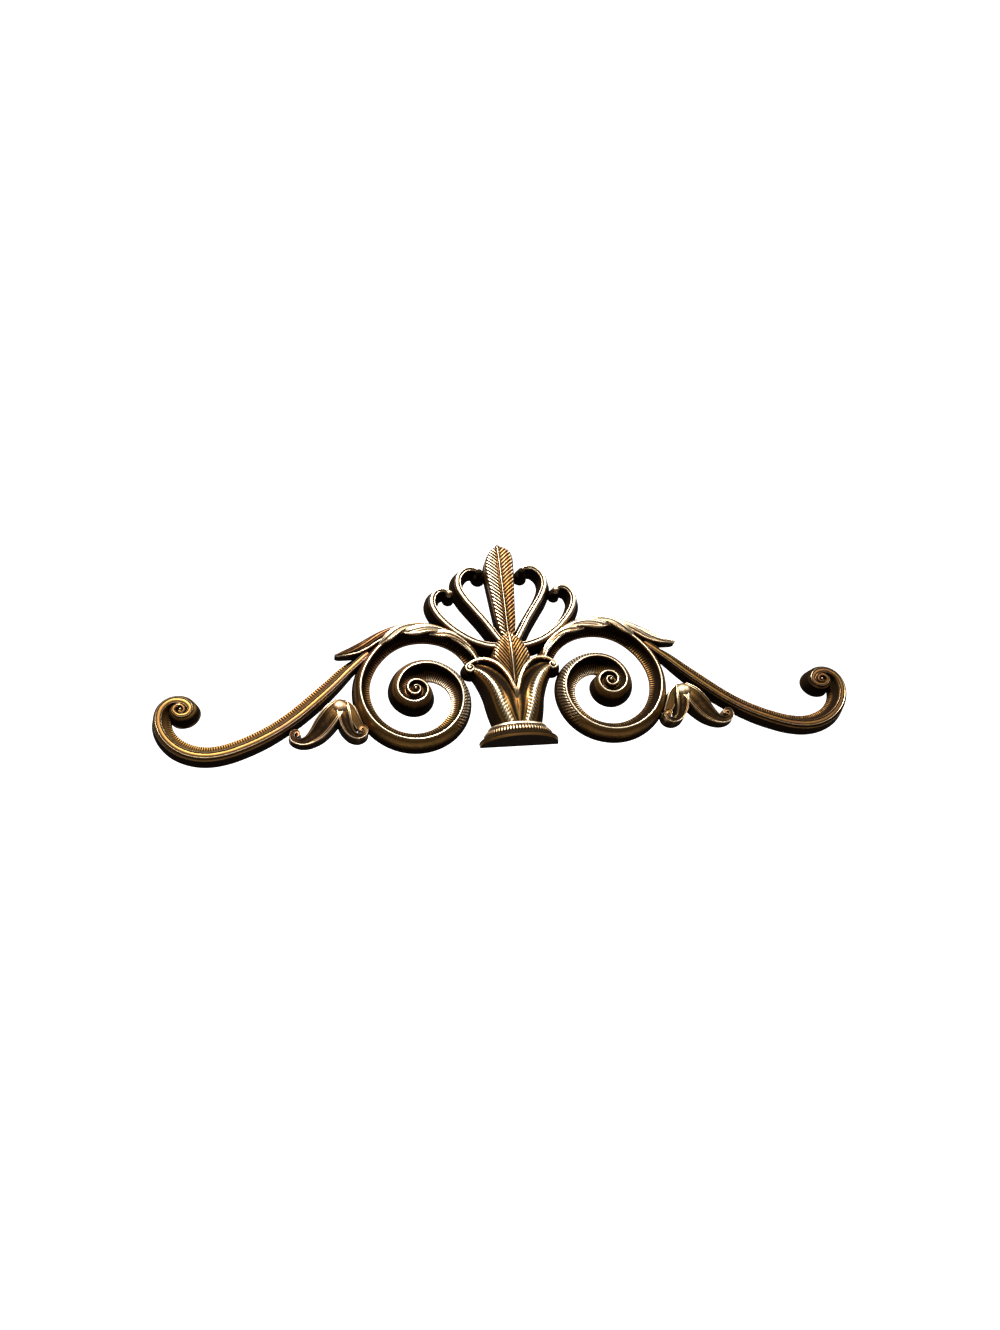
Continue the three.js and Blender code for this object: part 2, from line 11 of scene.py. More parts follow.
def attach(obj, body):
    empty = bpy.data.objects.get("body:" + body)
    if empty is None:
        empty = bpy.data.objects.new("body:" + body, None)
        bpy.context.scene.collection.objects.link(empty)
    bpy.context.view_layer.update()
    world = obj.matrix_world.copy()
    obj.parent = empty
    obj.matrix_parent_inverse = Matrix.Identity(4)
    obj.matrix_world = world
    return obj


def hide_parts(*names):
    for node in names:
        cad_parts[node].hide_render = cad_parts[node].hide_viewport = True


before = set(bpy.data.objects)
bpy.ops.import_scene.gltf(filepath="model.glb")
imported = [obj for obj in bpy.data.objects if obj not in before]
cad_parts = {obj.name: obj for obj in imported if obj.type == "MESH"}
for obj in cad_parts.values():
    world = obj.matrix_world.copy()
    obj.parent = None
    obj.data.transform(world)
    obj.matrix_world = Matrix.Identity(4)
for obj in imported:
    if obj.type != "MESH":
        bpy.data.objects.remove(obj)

# Lengths are millimetres until a mesh is made. x runs along the wall from the centre line, height
# is above the underside of the foot and depth is out of the wall. Pieces are worked out for the
# right half and mirrored, as the casting is.
METRE = 1000.0
MOUNT_HEIGHT = 56.0
NODE = "scroll_ornament"
BODY = "root"
Array = np.ndarray
Socket = bpy.types.NodeSocket

# A flat back leaves the wall by this much along its path, so that backs that cross don't coincide.
BACK_RISE = 0.08

# Wear by relief: cells looked at around each point, height that counts in full, share of the tone.
FINE_REACH = 2
FINE_FULL = 0.11
FINE_SHARE = 0.55

logging.basicConfig(level=logging.INFO, format="%(message)s")
LOG = logging.getLogger("scroll_wall_ornament")


def spline(rows: Array, t: Array) -> Array:
    """Read evenly spaced rows of numbers on their Catmull-Rom curve.

    Args:
        rows: One row of numbers for each station, with the stations evenly spaced from 0 to 1.
        t: Places from 0 to 1.

    Returns:
        One row of numbers for each place.
    """
    rows = np.asarray(rows, dtype=float)
    last = len(rows) - 1
    place = np.asarray(t) * last
    index = np.clip(np.floor(place).astype(int), 0, last - 1)
    f = (place - index)[..., None]
    a = rows[np.clip(index - 1, 0, last)]
    b = rows[index]
    c = rows[index + 1]
    d = rows[np.clip(index + 2, 0, last)]
    return b + 0.5 * f * ((c - a) + f * ((2 * a - 5 * b + 4 * c - d) + f * (3 * b - a - 3 * c + d)))


def step_up(values: Array, low: float, high: float) -> Array:
    """Rise smoothly from 0 at low to 1 at high, by 3 t squared minus 2 t cubed.

    Args:
        values: Where to read the step.
        low: The value where it leaves 0.
        high: The value where it reaches 1.

    Returns:
        The step's height at each value.
    """
    t = np.clip((values - low) / (high - low), 0.0, 1.0)
    return t * t * (3.0 - 2.0 * t)


def between(values: Array, marks: tuple[float, float, float, float]) -> Array:
    """Rise from 0 to 1 between the first two marks and fall back between the last two."""
    return step_up(values, *marks[:2]) * (1 - step_up(values, *marks[2:]))


def box_blur(values: Array, reach: int) -> Array:
    """Average a grid over a square window, with its edge rows and columns repeated outwards.

    Args:
        values: Grid of shape (rows, columns, numbers).
        reach: Cells from the window's middle to its edge.

    Returns:
        The averaged grid, in the same shape.
    """
    padded = np.pad(values, [(reach, reach), (reach, reach), (0, 0)], mode="edge")
    window = np.lib.stride_tricks.sliding_window_view
    rows = window(padded, 2 * reach + 1, axis=0).mean(axis=-1)
    return window(rows, 2 * reach + 1, axis=1).mean(axis=-1)


@dataclass
class Shell:
    """Closed surface with the tone at each point, both the finish and painted light and shade.

    Attributes:
        points: Places, one row each of x, -depth and height.
        quads: Four point numbers for each face.
        caps: Rings of point numbers that close its ends.
        tone: From -1 for dark patina and painted shade over 0 for plain bronze to 1 for a rubbed edge and a
            painted highlight.
    """

    points: Array
    quads: Array
    caps: list[Array]
    tone: Array

    def mirrored(self) -> "Shell":
        """Give the same shell on the other side of the centre line, its faces turned outwards."""
        points = self.points * np.array([-1.0, 1.0, 1.0])
        return Shell(points, self.quads[:, ::-1], [ring[::-1] for ring in self.caps], self.tone)

    def toned(self, shift: float) -> "Shell":
        """Give the same shell with its tone shifted."""
        return Shell(self.points, self.quads, self.caps, np.clip(self.tone + shift, -1.0, 1.0))


def joined(shells: list[Shell]) -> Shell:
    """Gather several shells in one.

    Args:
        shells: The shells, each closed by itself.

    Returns:
        One shell that holds them all.
    """
    starts = np.cumsum([0] + [len(shell.points) for shell in shells])
    return Shell(
        np.concatenate([shell.points for shell in shells]),
        np.concatenate([shell.quads + start for shell, start in zip(shells, starts)]),
        [ring + start for shell, start in zip(shells, starts) for ring in shell.caps],
        np.concatenate([shell.tone for shell in shells]),
    )


def normals_of(grid: Array) -> Array:
    """Work out unit normals, as the cross product of the grid's two differences.

    Args:
        grid: Points of shape (rows, columns, 3).

    Returns:
        Unit normals in the same shape.
    """
    along, across = np.gradient(grid, axis=(0, 1))
    normal = np.cross(along, across)
    return normal / np.maximum(np.linalg.norm(normal, axis=-1, keepdims=True), 1e-9)


def rubbed(grid: Array, tone: Array) -> Array:
    """Add fine wear to a tone, by how far each point stands off its near surroundings.

    Args:
        grid: Points of shape (rows, columns, 3).
        tone: Tone of each point.

    Returns:
        The tone with fine edges brighter and fine grooves darker.
    """
    stand_off = np.sum((grid - box_blur(grid, FINE_REACH)) * normals_of(grid), axis=-1)
    return np.clip(tone + FINE_SHARE * np.clip(stand_off / FINE_FULL, -1.0, 1.0), -1.0, 1.0)


def shell_of(grid: Array, tone: Array, carved: bool = True) -> Shell:
    """Close a grid into a shell: its columns run round a ring and its first and last rows get caps.

    Args:
        grid: Points of shape (rows, columns, 3), each row a ring around the form.
        tone: Tone of each point, of shape (rows, columns).
        carved: Whether fine wear is added by its relief.

    Returns:
        The closed shell.
    """
    rows, columns = grid.shape[:2]
    number = np.arange(rows * columns).reshape(rows, columns)
    after = np.roll(number, -1, axis=1)
    quads = np.stack([number[:-1], number[1:], after[1:], after[:-1]], axis=-1).reshape(-1, 4)
    caps = [number[0], number[-1][::-1]]
    fine = rubbed(grid, tone) if carved else tone
    return Shell(grid.reshape(-1, 3), quads, caps, fine.ravel())


@dataclass(frozen=True)
class Path:
    """Evenly walked path in the wall plane.

    Attributes:
        t: Place of each step on the row list, 0 to 1.
        length: Distance walked up to each step.
        points: x and height of each step.
    """

    t: Array
    length: Array
    points: Array

    def side(self) -> Array:
        """Give the unit direction to the left of travel at each step."""
        ahead = np.gradient(self.points, axis=0)
        ahead /= np.linalg.norm(ahead, axis=1, keepdims=True)
        return np.stack([-ahead[:, 1], ahead[:, 0]], axis=1)


def walk(place: Callable[[Array], Array], step: float) -> Path:
    """Walk a curve in equal steps, by reading its arc length off a fine copy.

    Args:
        place: Function from places 0 to 1 to points of x and height.
        step: Distance wanted between steps.

    Returns:
        The walked path.
    """
    fine = np.linspace(0.0, 1.0, 4000)
    points = place(fine)
    legs = np.linalg.norm(np.diff(points, axis=0), axis=1)
    reach = np.concatenate([[0.0], np.cumsum(legs)])
    count = max(4, int(np.ceil(reach[-1] / step)) + 1)
    length = np.linspace(0.0, reach[-1], count)
    t = np.interp(length, reach, fine)
    return Path(t, length, place(t))


def carve(path: Path, section: Array, cut: Array | float = 0.0, shift: Array | float = 0.0) -> Shell:
    """Carry a section along a path, each offset to the left of travel, and cut into it.

    Args:
        path: The walked path.
        section: Offset, depth and tone of shape (steps, columns, 3), with offsets rising along a row.
        cut: How far each point is moved in against its normal.
        shift: Change of its tone.

    Returns:
        The closed shell.
    """
    offset, depth, tone = np.moveaxis(section, -1, 0)
    x, height = np.moveaxis(path.points[:, None] + offset[..., None] * path.side()[:, None], -1, 0)
    depth = depth + BACK_RISE * path.t[:, None] * (depth < BACK_RISE)
    grid = np.stack([x, -depth, height], axis=-1)
    return shell_of(grid - normals_of(grid) * np.broadcast_to(cut, x.shape)[..., None], tone + shift)


def filled(knots: Array, gaps: list[float], soften: int) -> Array:
    """Fill straight stretches between knots with points, then ease the corners.

    Each pass of easing takes a quarter of both neighbours and half of the point itself.

    Args:
        knots: Knots of shape (rows, knots, numbers), whose first two numbers are a place.
        gaps: Widest gap wanted between points on each stretch.
        soften: Number of easing passes.

    Returns:
        Points of shape (rows, points, numbers).
    """
    stretch = np.linalg.norm(np.diff(knots[..., :2], axis=1), axis=-1).max(axis=0)
    counts = np.maximum(1, np.ceil(stretch / np.asarray(gaps))).astype(int)
    parts = [
        knots[:, i : i + 1] + (knots[:, i + 1 : i + 2] - knots[:, i : i + 1])
        * (np.arange(count) / count)[None, :, None]
        for i, count in enumerate(counts)
    ]
    points = np.concatenate([*parts, knots[:, -1:]], axis=1)
    for _ in range(soften):
        eased = 0.25 * points[:, :-2] + 0.5 * points[:, 1:-1] + 0.25 * points[:, 2:]
        points = np.concatenate([points[:, :1], eased, points[:, -1:]], axis=1)
    return points


def follow(rows: tuple, step: float, start: tuple[float, float] = (0.0, 0.0)) -> tuple[Path, Array]:
    """Walk the curve through a row list, whose rows begin with x and height.

    Args:
        rows: The row list.
        step: Distance wanted between steps.
        start: Place that x and height are measured from.

    Returns:
        The path, and each further number of the rows along it.
    """
    path = walk(lambda t: spline(rows, t)[..., :2] + np.array(start), step)
    return path, spline(rows, path.t).T[2:]


def knotted(table: tuple, half: Array | float, top: Array | float) -> list[tuple]:
    """Place a table's knots: share of the half width, rise over the top and tone."""
    return [(share * half, top + rise, tone) for share, rise, tone in table]


def cove(near: Array, far: Array, top: Array, low: Array, tones: tuple, count: int) -> list[tuple]:
    """Place knots down a quarter round, where the fall is the root of 1 - (1 - share) squared.

    Args:
        near: Offset of its upper edge, which gets no knot.
        far: Offset of its lower edge.
        top: Depth of its upper edge.
        low: Depth of its lower edge.
        tones: Tone at its upper and at its lower edge.
        count: Number of knots.

    Returns:
        The knots, from the upper edge to the lower one.
    """
    share = np.linspace(0.0, 1.0, count + 1)[1:]
    fall = np.sqrt(1.0 - (1.0 - share) ** 2)
    return [
        (near + part * (far - near), top - drop * (top - low), tones[0] + (tones[1] - tones[0]) * part)
        for part, drop in zip(share, fall)
    ]


def standing(knots: list[tuple], feet: tuple, gaps: list[float], soften: int = 1) -> Array:
    """Stand a section on the wall and fill it.

    Args:
        knots: Offset, depth and tone of each knot, each a number or one number for each step.
        feet: Offsets of its two ends at the wall.
        gaps: Widest gap wanted between points on each stretch.
        soften: Number of easing passes.

    Returns:
        Points of shape (steps, points, 3).
    """
    # The feet at the wall take tone -1: dark patina with painted shade on the walls.
    whole = [(feet[0], 0.0, -1.0), *knots, (feet[1], 0.0, -1.0)]
    numbers = np.broadcast_arrays(*[number for knot in whole for number in knot])
    return filled(np.stack(numbers, axis=-1).reshape(-1, len(whole), 3), gaps, soften)


def comb(phase: Array, sharpness: float = 1.0) -> Array:
    """Cut grooves one unit of phase apart: 0 on the lands and 1 in the grooves.

    The groove is half of 1 plus the cosine of the phase's turn, raised to the sharpness.

    Args:
        phase: Number of grooves passed at each point.
        sharpness: Power that narrows the grooves.

    Returns:
        Groove depth from 0 to 1.
    """
    return (0.5 + 0.5 * np.cos(2 * np.pi * phase)) ** sharpness


def turned(centre: tuple[float, float], stem: list[tuple], top: Array, sides: int) -> Shell:
    """Turn a profile about an axis out of the wall.

    Args:
        centre: x and height of the axis.
        stem: Radius, depth and tone of each level, from the wall upwards.
        top: The same for its crown.
        sides: Points round each level.

    Returns:
        The closed shell.
    """
    radius, depth, tone = np.concatenate([np.array(stem), top]).T[:, :, None]
    angle = np.linspace(2 * np.pi, 0.0, sides, endpoint=False)
    x = centre[0] + radius * np.cos(angle)
    height = centre[1] + radius * np.sin(angle)
    grid = np.stack(np.broadcast_arrays(x, -np.maximum(depth, 1.5 * BACK_RISE), height), axis=-1)
    return shell_of(grid, np.broadcast_to(tone, x.shape), carved=False)


def dome(radius: float, crown: float, height: float, tones: tuple[float, float], steps: int = 12) -> Array:
    """Give a dome's profile as a quarter ellipse.

    Args:
        radius: Radius where the dome starts.
        crown: Depth of its top.
        height: Rise from its start to its top.
        tones: Tone at its start and at its top.
        steps: Number of points.

    Returns:
        Radius, depth and tone of each point.
    """
    angle = np.linspace(0.0, 0.5 * np.pi, steps)
    ring = np.maximum(radius * np.cos(angle), 0.02 * radius)
    tone = tones[0] + (tones[1] - tones[0]) * np.sin(angle)
    return np.stack([ring, crown - height + height * np.sin(angle), tone], axis=1)


class PatinaAndLight(Enum):
    """Tone of the antique finish and of the painted light and shade, with where it lies."""

    # DARK is patina in the hollows and painted shade on the walls; GOLD is rubbed edges and painted
    # highlights.
    DARK = "walls and hollows"
    BROWN = "plain bronze"
    GOLD = "rubbed edges"


class Nodes:
    """Node tree of a material, with each node made in one call."""

    def __init__(self, material: bpy.types.Material) -> None:
        """Keep the material's tree and its object coordinates."""
        material.use_nodes = True
        self.tree = material.node_tree
        self.place = self.add("TexCoord", "Object", {})

    def feed(self, socket: Socket, value: object) -> None:
        """Give a socket a link where the value is another socket, or else a constant."""
        if isinstance(value, Socket):
            self.tree.links.new(value, socket)
        else:
            socket.default_value = value

    def add(self, kind: str, output: int | str, inputs: dict, **settings: object) -> Socket:
        """Make a node.

        Args:
            kind: Its kind.
            output: Name or number of the output wanted.
            inputs: Value of each input, by its name or number.
            settings: The node's own settings.

        Returns:
            The output.
        """
        node = self.tree.nodes.new("ShaderNode" + kind)
        for name, value in settings.items():
            setattr(node, name, value)
        for key, value in inputs.items():
            self.feed(node.inputs[key], value)
        return node.outputs[output]

    def noise(self, scale: float, detail: float, rough: float) -> Socket:
        """Make cloud noise in object space."""
        inputs = {"Vector": self.place, "Scale": scale, "Detail": detail, "Roughness": rough}
        return self.add("TexNoise", "Fac", inputs)

    def math(self, kind: str, first: object, second: object, clamp: bool = False) -> Socket:
        """Join two values, each a socket or a number."""
        return self.add("Math", "Value", {0: first, 1: second}, operation=kind, use_clamp=clamp)

    def about(self, value: Socket, share: float) -> Socket:
        """Scale a noise about its middle."""
        return self.math("MULTIPLY", self.math("SUBTRACT", value, 0.5), share)

    def spread(self, value: object, low: float, high: float, out: tuple = (0.0, 1.0)) -> Socket:
        """Map a value's range to another range, smoothly and clamped."""
        inputs = {"Value": value, "From Min": low, "From Max": high, "To Min": out[0], "To Max": out[1]}
        return self.add("MapRange", "Result", inputs, interpolation_type="SMOOTHSTEP")

    def blend(self, share: object, first: object, second: object) -> Socket:
        """Mix two colours, each a socket or a plain colour."""
        return self.add("Mix", 2, {0: share, 6: first, 7: second}, data_type="RGBA")


@dataclass(frozen=True)
class AntiqueBronze:
    """Antique bronze: dark brown patina in the hollows, rubbed to gold on raised edges, with painted shade on
    the walls and painted highlights where light falls.

    Attributes:
        dark: Colour of the patina in hollows and of the painted shade on walls.
        brown: Colour of the plain bronze.
        gold: Colour where it is rubbed and where highlights are painted.
        ruddy: Colour of its redder clouds.
        olive: Colour of its greener clouds.
        cloud: Scale, detail and roughness of the clouds.
        broad: The same for the broad patches.
        speck: The same for the fine specks.
        skin: The same for the cast skin.
        speck_share: How far the specks shift the mix of rubbed edges and painted highlights.
        broad_share: How far the patches shift it.
        clean_rough: Roughness of the bare metal.
        patina_and_shade_mix_rough: Roughness of the patina and of the painted shade.
        speck_rough: How far the specks shift the roughness.
        polish: How far rubbed edges and painted highlights take it down.
        sheen: Level of the patina's own gloss.
        bump: Strength of the cast skin.
        bump_depth: Its height, in metres.
    """

    dark: tuple = (0.0125, 0.0070, 0.0034)
    brown: tuple = (0.235, 0.116, 0.032)
    gold: tuple = (0.890, 0.725, 0.500)
    ruddy: tuple = (0.230, 0.100, 0.046, 1.0)
    olive: tuple = (0.215, 0.124, 0.030, 1.0)
    cloud: tuple = (9.0, 2.0, 0.5)
    broad: tuple = (45.0, 4.0, 0.55)
    speck: tuple = (520.0, 5.0, 0.6)
    skin: tuple = (900.0, 3.0, 0.6)
    speck_share: float = 0.45
    broad_share: float = 0.35
    clean_rough: float = 0.42
    patina_and_shade_mix_rough: float = 0.75
    speck_rough: float = 0.16
    polish: float = 0.06
    sheen: float = 0.04
    bump: float = 0.35
    bump_depth: float = 0.00018

    def colour(self, tone: PatinaAndLight) -> tuple[float, float, float, float]:
        """Give a tone's colour with its alpha."""
        colours = {PatinaAndLight.DARK: self.dark, PatinaAndLight.BROWN: self.brown, PatinaAndLight.GOLD: self.gold}
        return (*colours[tone], 1.0)

    def build(self) -> bpy.types.Material:
        """Build the node material that reads the two tone attributes: rubbed edges with painted highlights,
        and patina with painted shade.

        Returns:
            The material.
        """
        material = bpy.data.materials.new("antique_bronze")
        nodes = Nodes(material)
        # The first attribute holds rubbed edges with painted highlights, the second patina with painted
        # shade.
        wear_and_highlight, patina_and_shade = (nodes.add("Attribute", "Fac", {}, attribute_name=name) for name in ("wear_and_highlight", "patina_and_shade"))
        broad = nodes.noise(*self.broad)
        speck = nodes.noise(*self.speck)
        uneven = nodes.math("ADD", nodes.about(speck, self.speck_share), nodes.about(broad, self.broad_share))
        worn_and_lit = nodes.spread(nodes.math("ADD", wear_and_highlight, uneven), 0.25, 0.95)
        patina_and_shade_mix = nodes.spread(nodes.math("ADD", patina_and_shade, uneven), 0.05, 0.8)
        warm = nodes.blend(nodes.spread(nodes.noise(*self.cloud), 0.4, 0.6), self.ruddy, self.olive)
        plain = nodes.blend(nodes.spread(broad, 0.35, 0.7), self.colour(PatinaAndLight.BROWN), warm)
        aged = nodes.blend(patina_and_shade_mix, plain, self.colour(PatinaAndLight.DARK))
        rough = nodes.spread(patina_and_shade_mix, 0.0, 1.0, (self.clean_rough, self.patina_and_shade_mix_rough))
        rough = nodes.math("ADD", rough, nodes.about(speck, self.speck_rough))
        relief = {"Strength": self.bump, "Distance": self.bump_depth, "Height": nodes.noise(*self.skin)}
        look = {
            "Base Color": nodes.blend(worn_and_lit, aged, self.colour(PatinaAndLight.GOLD)),
            "Metallic": nodes.spread(patina_and_shade_mix, 0.0, 1.0, (1.0, 0.0)),
            "Roughness": nodes.math("SUBTRACT", rough, nodes.math("MULTIPLY", worn_and_lit, self.polish), True),
            "Specular IOR Level": self.sheen,
            "IOR": 1.2,
            "Normal": nodes.add("Bump", "Normal", relief),
        }
        for key, value in look.items():
            nodes.feed(nodes.tree.nodes["Principled BSDF"].inputs[key], value)
        return material


def placed(name: str, data: bpy.types.ID) -> bpy.types.Object:
    """Make an object of its data and link it to the scene."""
    made = bpy.data.objects.new(name, data)
    bpy.context.scene.collection.objects.link(made)
    return made


def make_piece(name: str, shell: Shell, material: bpy.types.Material) -> None:
    """Make a Blender piece of a shell and hang it on the casting's body.

    Args:
        name: The piece's name.
        shell: Its surface in millimetres.
        material: Its finish.
    """
    mesh = bpy.data.meshes.new(name)
    points = (shell.points - np.array([0.0, 0.0, MOUNT_HEIGHT])) / METRE
    sizes = np.concatenate([np.full(len(shell.quads), 4), [len(ring) for ring in shell.caps]])
    corners = np.concatenate([shell.quads.ravel(), *shell.caps])
    starts = np.concatenate([[0], np.cumsum(sizes)[:-1]])
    mesh.vertices.add(len(points))
    mesh.vertices.foreach_set("co", points.astype(np.float32).ravel())
    mesh.loops.add(len(corners))
    mesh.loops.foreach_set("vertex_index", corners.astype(np.int32))
    mesh.polygons.add(len(sizes))
    mesh.polygons.foreach_set("loop_start", starts.astype(np.int32))
    # Bright tones, rubbed edges and painted highlights, and dark tones, patina and painted shade, go to two
    # attributes.
    for mark, values in (("wear_and_highlight", shell.tone), ("patina_and_shade", -shell.tone)):
        layer = mesh.attributes.new(mark, "FLOAT", "POINT")
        layer.data.foreach_set("value", np.clip(values, 0.0, 1.0).astype(np.float32))
    mesh.update(calc_edges=True)
    mesh.validate()
    mesh.shade_smooth()
    mesh.set_sharp_from_angle(angle=np.radians(50.0))
    mesh.materials.append(material)
    piece = placed(name, mesh)
    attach(piece, BODY)
    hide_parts(NODE)
    triangles = 2 * len(shell.quads) + sum(len(ring) - 2 for ring in shell.caps)
    LOG.info("%s: %d triangles", name, triangles)


@dataclass
class LargeScroll:
    """Large scroll: a thin bright ridge with a dark reeded hollow inside and a sloping flank outside.

    Attributes:
        eye: x and height of its eye.
        rows: For each eighth of a turn: ridge radius, hollow and flank widths, ridge and edge depth.
        start_turn: Eighth where it leaves the urn.
        step: Distance between sections.
        reed_pitch: Distance between the fine reeds of the hollow.
        reed_depth: Depth of the reeds.
        cut_pitch: Distance between the coarse cuts of the flank.
        cut_depth: Depth of the cuts.
        cut_slant: How far a cut runs ahead for each millimetre outwards.
        cut_zone: Eighths where the cuts rise and where they fade.
        cut_band: Shares of the flank where they rise and fade.
        waver: Amount and length of each slow waver of reeds and cuts.
        relief_from: Depth that the reeds start at.
        tight_turn: Eighth where the reeds end.
        dusk_zone: Eighths where painted shade darkens the hollow and clears.
        dusk_turns: Eighths over which painted shade darkens the flank.
        bead: Share of the half width, rise over the ridge and tone of each knot of the ridge's bead.
        slope: Share of the flank, share of the ridge's depth and tone of each knot of the flank.
    """

    eye: tuple[float, float] = (86.0, 52.5)
    rows: tuple = (
        (59, 8, 7, 13, 3), (61.8, 8, 7, 13.5, 3), (56.5, 8.2, 7, 13.5, 3), (48.8, 7.6, 7, 13.5, 3),
        (46.8, 8.4, 7.2, 13.5, 3), (46.1, 8.8, 8.2, 13.5, 3), (46, 9.2, 8.6, 13.5, 3),
        (44.4, 9.5, 8.6, 13.5, 3), (40, 10.2, 8.2, 13.5, 3), (31, 12.5, 8, 13.5, 3), (22.7, 14, 8, 13.5, 4),
        (17, 9.5, 8, 13.8, 7.5), (15, 7, 8, 14, 9.5), (12.9, 5.6, 8.5, 14.2, 10.5), (11.7, 5, 9, 14.5, 11),
        (11, 4.7, 8, 14.8, 11), (10.4, 4.4, 6, 15, 11.2), (9, 4, 4, 15.3, 11.5), (8, 3.4, 3, 15.5, 12),
        (7.3, 3, 2.5, 15.5, 12), (6.6, 2.4, 2.1, 15.7, 12.6), (5.9, 2.1, 1.8, 15.9, 13.2),
        (5.2, 1.9, 1.6, 16, 13.6), (4.5, 1.8, 1.5, 16.1, 14), (3.8, 1.7, 1.4, 16.2, 14.2),
        (3.1, 1.6, 1.3, 16.3, 14.5), (2.5, 1.4, 1.2, 16.4, 14.8), (1.9, 1.2, 1.1, 16.5, 15),
    )
    start_turn: float = 0.5
    step: float = 0.5
    reed_pitch: float = 2.4
    reed_depth: float = 0.34
    cut_pitch: float = 2.7
    cut_depth: float = 0.5
    cut_slant: float = 0.8
    cut_zone: tuple = (6.7, 7.4, 9.0, 10.2)
    cut_band: tuple = (0.1, 0.16, 0.5, 0.85)
    waver: tuple = ((0.25, 7.3), (0.15, 3.1))
    relief_from: float = 2.5
    tight_turn: float = 11.5
    dusk_zone: tuple = (3.8, 4.8, 6.3, 7.3)
    dusk_turns: tuple = (9.8, 11.5)
    bead: tuple = (
        (-1.05, -0.15, -0.5), (-0.7, 0.3, 0.5), (0.0, 0.45, 1.0), (0.7, 0.25, 0.6), (1.2, -0.3, -0.1),
    )
    slope: tuple = (
        (0.14, 0.965, -0.4), (0.28, 0.9, -0.28), (0.42, 0.8, -0.25), (0.56, 0.67, -0.38), (0.7, 0.5, -0.65),
        (0.85, 0.27, -0.95),
    )

    def about_eye(self, angle: Array, radius: Array) -> Array:
        """Place points by angle and radius about the eye, from the urn's side over the top."""
        x = self.eye[0] - radius * np.cos(angle)
        height = self.eye[1] + radius * np.sin(angle)
        return np.stack([x, height], axis=-1)

    def section(self, sizes: Array) -> Array:
        """Draw the section: wall, quarter-round hollow, ridge bead and ovolo flank.

        Args:
            sizes: Hollow and flank widths, ridge and edge depth along the path.

        Returns:
            Offsets, depths and tones of shape (steps, columns, 3).
        """
        width, flank, ridge, edge = sizes
        half = np.minimum(0.8, 0.3 * width)
        start = 1.2 * half
        hollow = cove(-half, -width, ridge, edge, (-0.95, -0.5), 11)[::-1]
        slope = [
            (start + part * (flank - start), (ridge - 0.3) * rise, tone) for part, rise, tone in self.slope
        ]
        gaps = [3.0] + [0.7] * 10 + [0.5] * 5 + [0.6] * 6 + [2.0]
        return standing([*hollow, *knotted(self.bead, half, ridge), *slope], (-width, flank), gaps)

    def ribbon(self) -> Shell:
        """Sweep the section round the turns and cut its reeds and cuts.

        Returns:
            The closed shell.
        """
        last = len(self.rows) - 1
        first = self.start_turn

        def place(t: Array) -> Array:
            """Give the ridge's point at each place."""
            turn = first + t * (last - first)
            return self.about_eye(turn * np.pi / 4, spline(self.rows, turn / last)[..., 0])

        path = walk(place, self.step)
        turn = (first + path.t * (last - first))[:, None]
        sizes = spline(self.rows, turn[:, 0] / last).T[1:]
        section = self.section(sizes)
        offset, depth, _ = np.moveaxis(section, -1, 0)
        inward = np.clip(-offset / sizes[0][:, None], 0, 1)
        outward = np.clip(offset / sizes[1][:, None], 0, 1)
        length = path.length[:, None]
        length = length + sum(amount * np.sin(length / wave) for amount, wave in self.waver)
        reeds = comb(length / self.reed_pitch, 1.4)
        grooves = comb((length - self.cut_slant * offset) / self.cut_pitch, 1.3)
        zone = between(turn, self.cut_zone)
        across = zone * between(outward, self.cut_band)
        reeded = (depth > self.relief_from) * (turn < self.tight_turn) * step_up(inward, 0.25, 0.75)
        cut = self.reed_depth * reeds * reeded + self.cut_depth * grooves * across

        # The lands shine and the grooves are dark, on the flank and in the hollow beside it.
        shift = across * (1.15 - 1.7 * grooves) + zone * step_up(inward, 0.2, 0.5) * (0.85 - 0.6 * reeds)
        shift += 0.2 * (0.5 - reeds) * step_up(inward, 0.3, 0.8)
        # The tight turns' flank and the upper hollow get painted shade.
        shift -= 0.55 * step_up(turn, *self.dusk_turns) * step_up(outward, 0.2, 0.7)
        shift -= 0.5 * between(turn, self.dusk_zone) * step_up(inward, 0.2, 0.6)
        return carve(path, section, cut, shift)

    def button(self) -> Shell:
        """Turn the core in the eye and the small bead on it."""
        # The core is painted dark as shade in the eye.
        core = [(8.0, 0.0, -1.0), (7.5, 9.8, -1.0), (7.0, 10.5, -1.0), (2.3, 12.5, -0.6)]
        return turned(self.eye, core, dome(1.5, 17.0, 2.2, (0.2, 1.0), 8), 40)

    def build(self) -> Shell:
        """Give the whole right scroll."""
        return joined([self.ribbon(), self.button()])


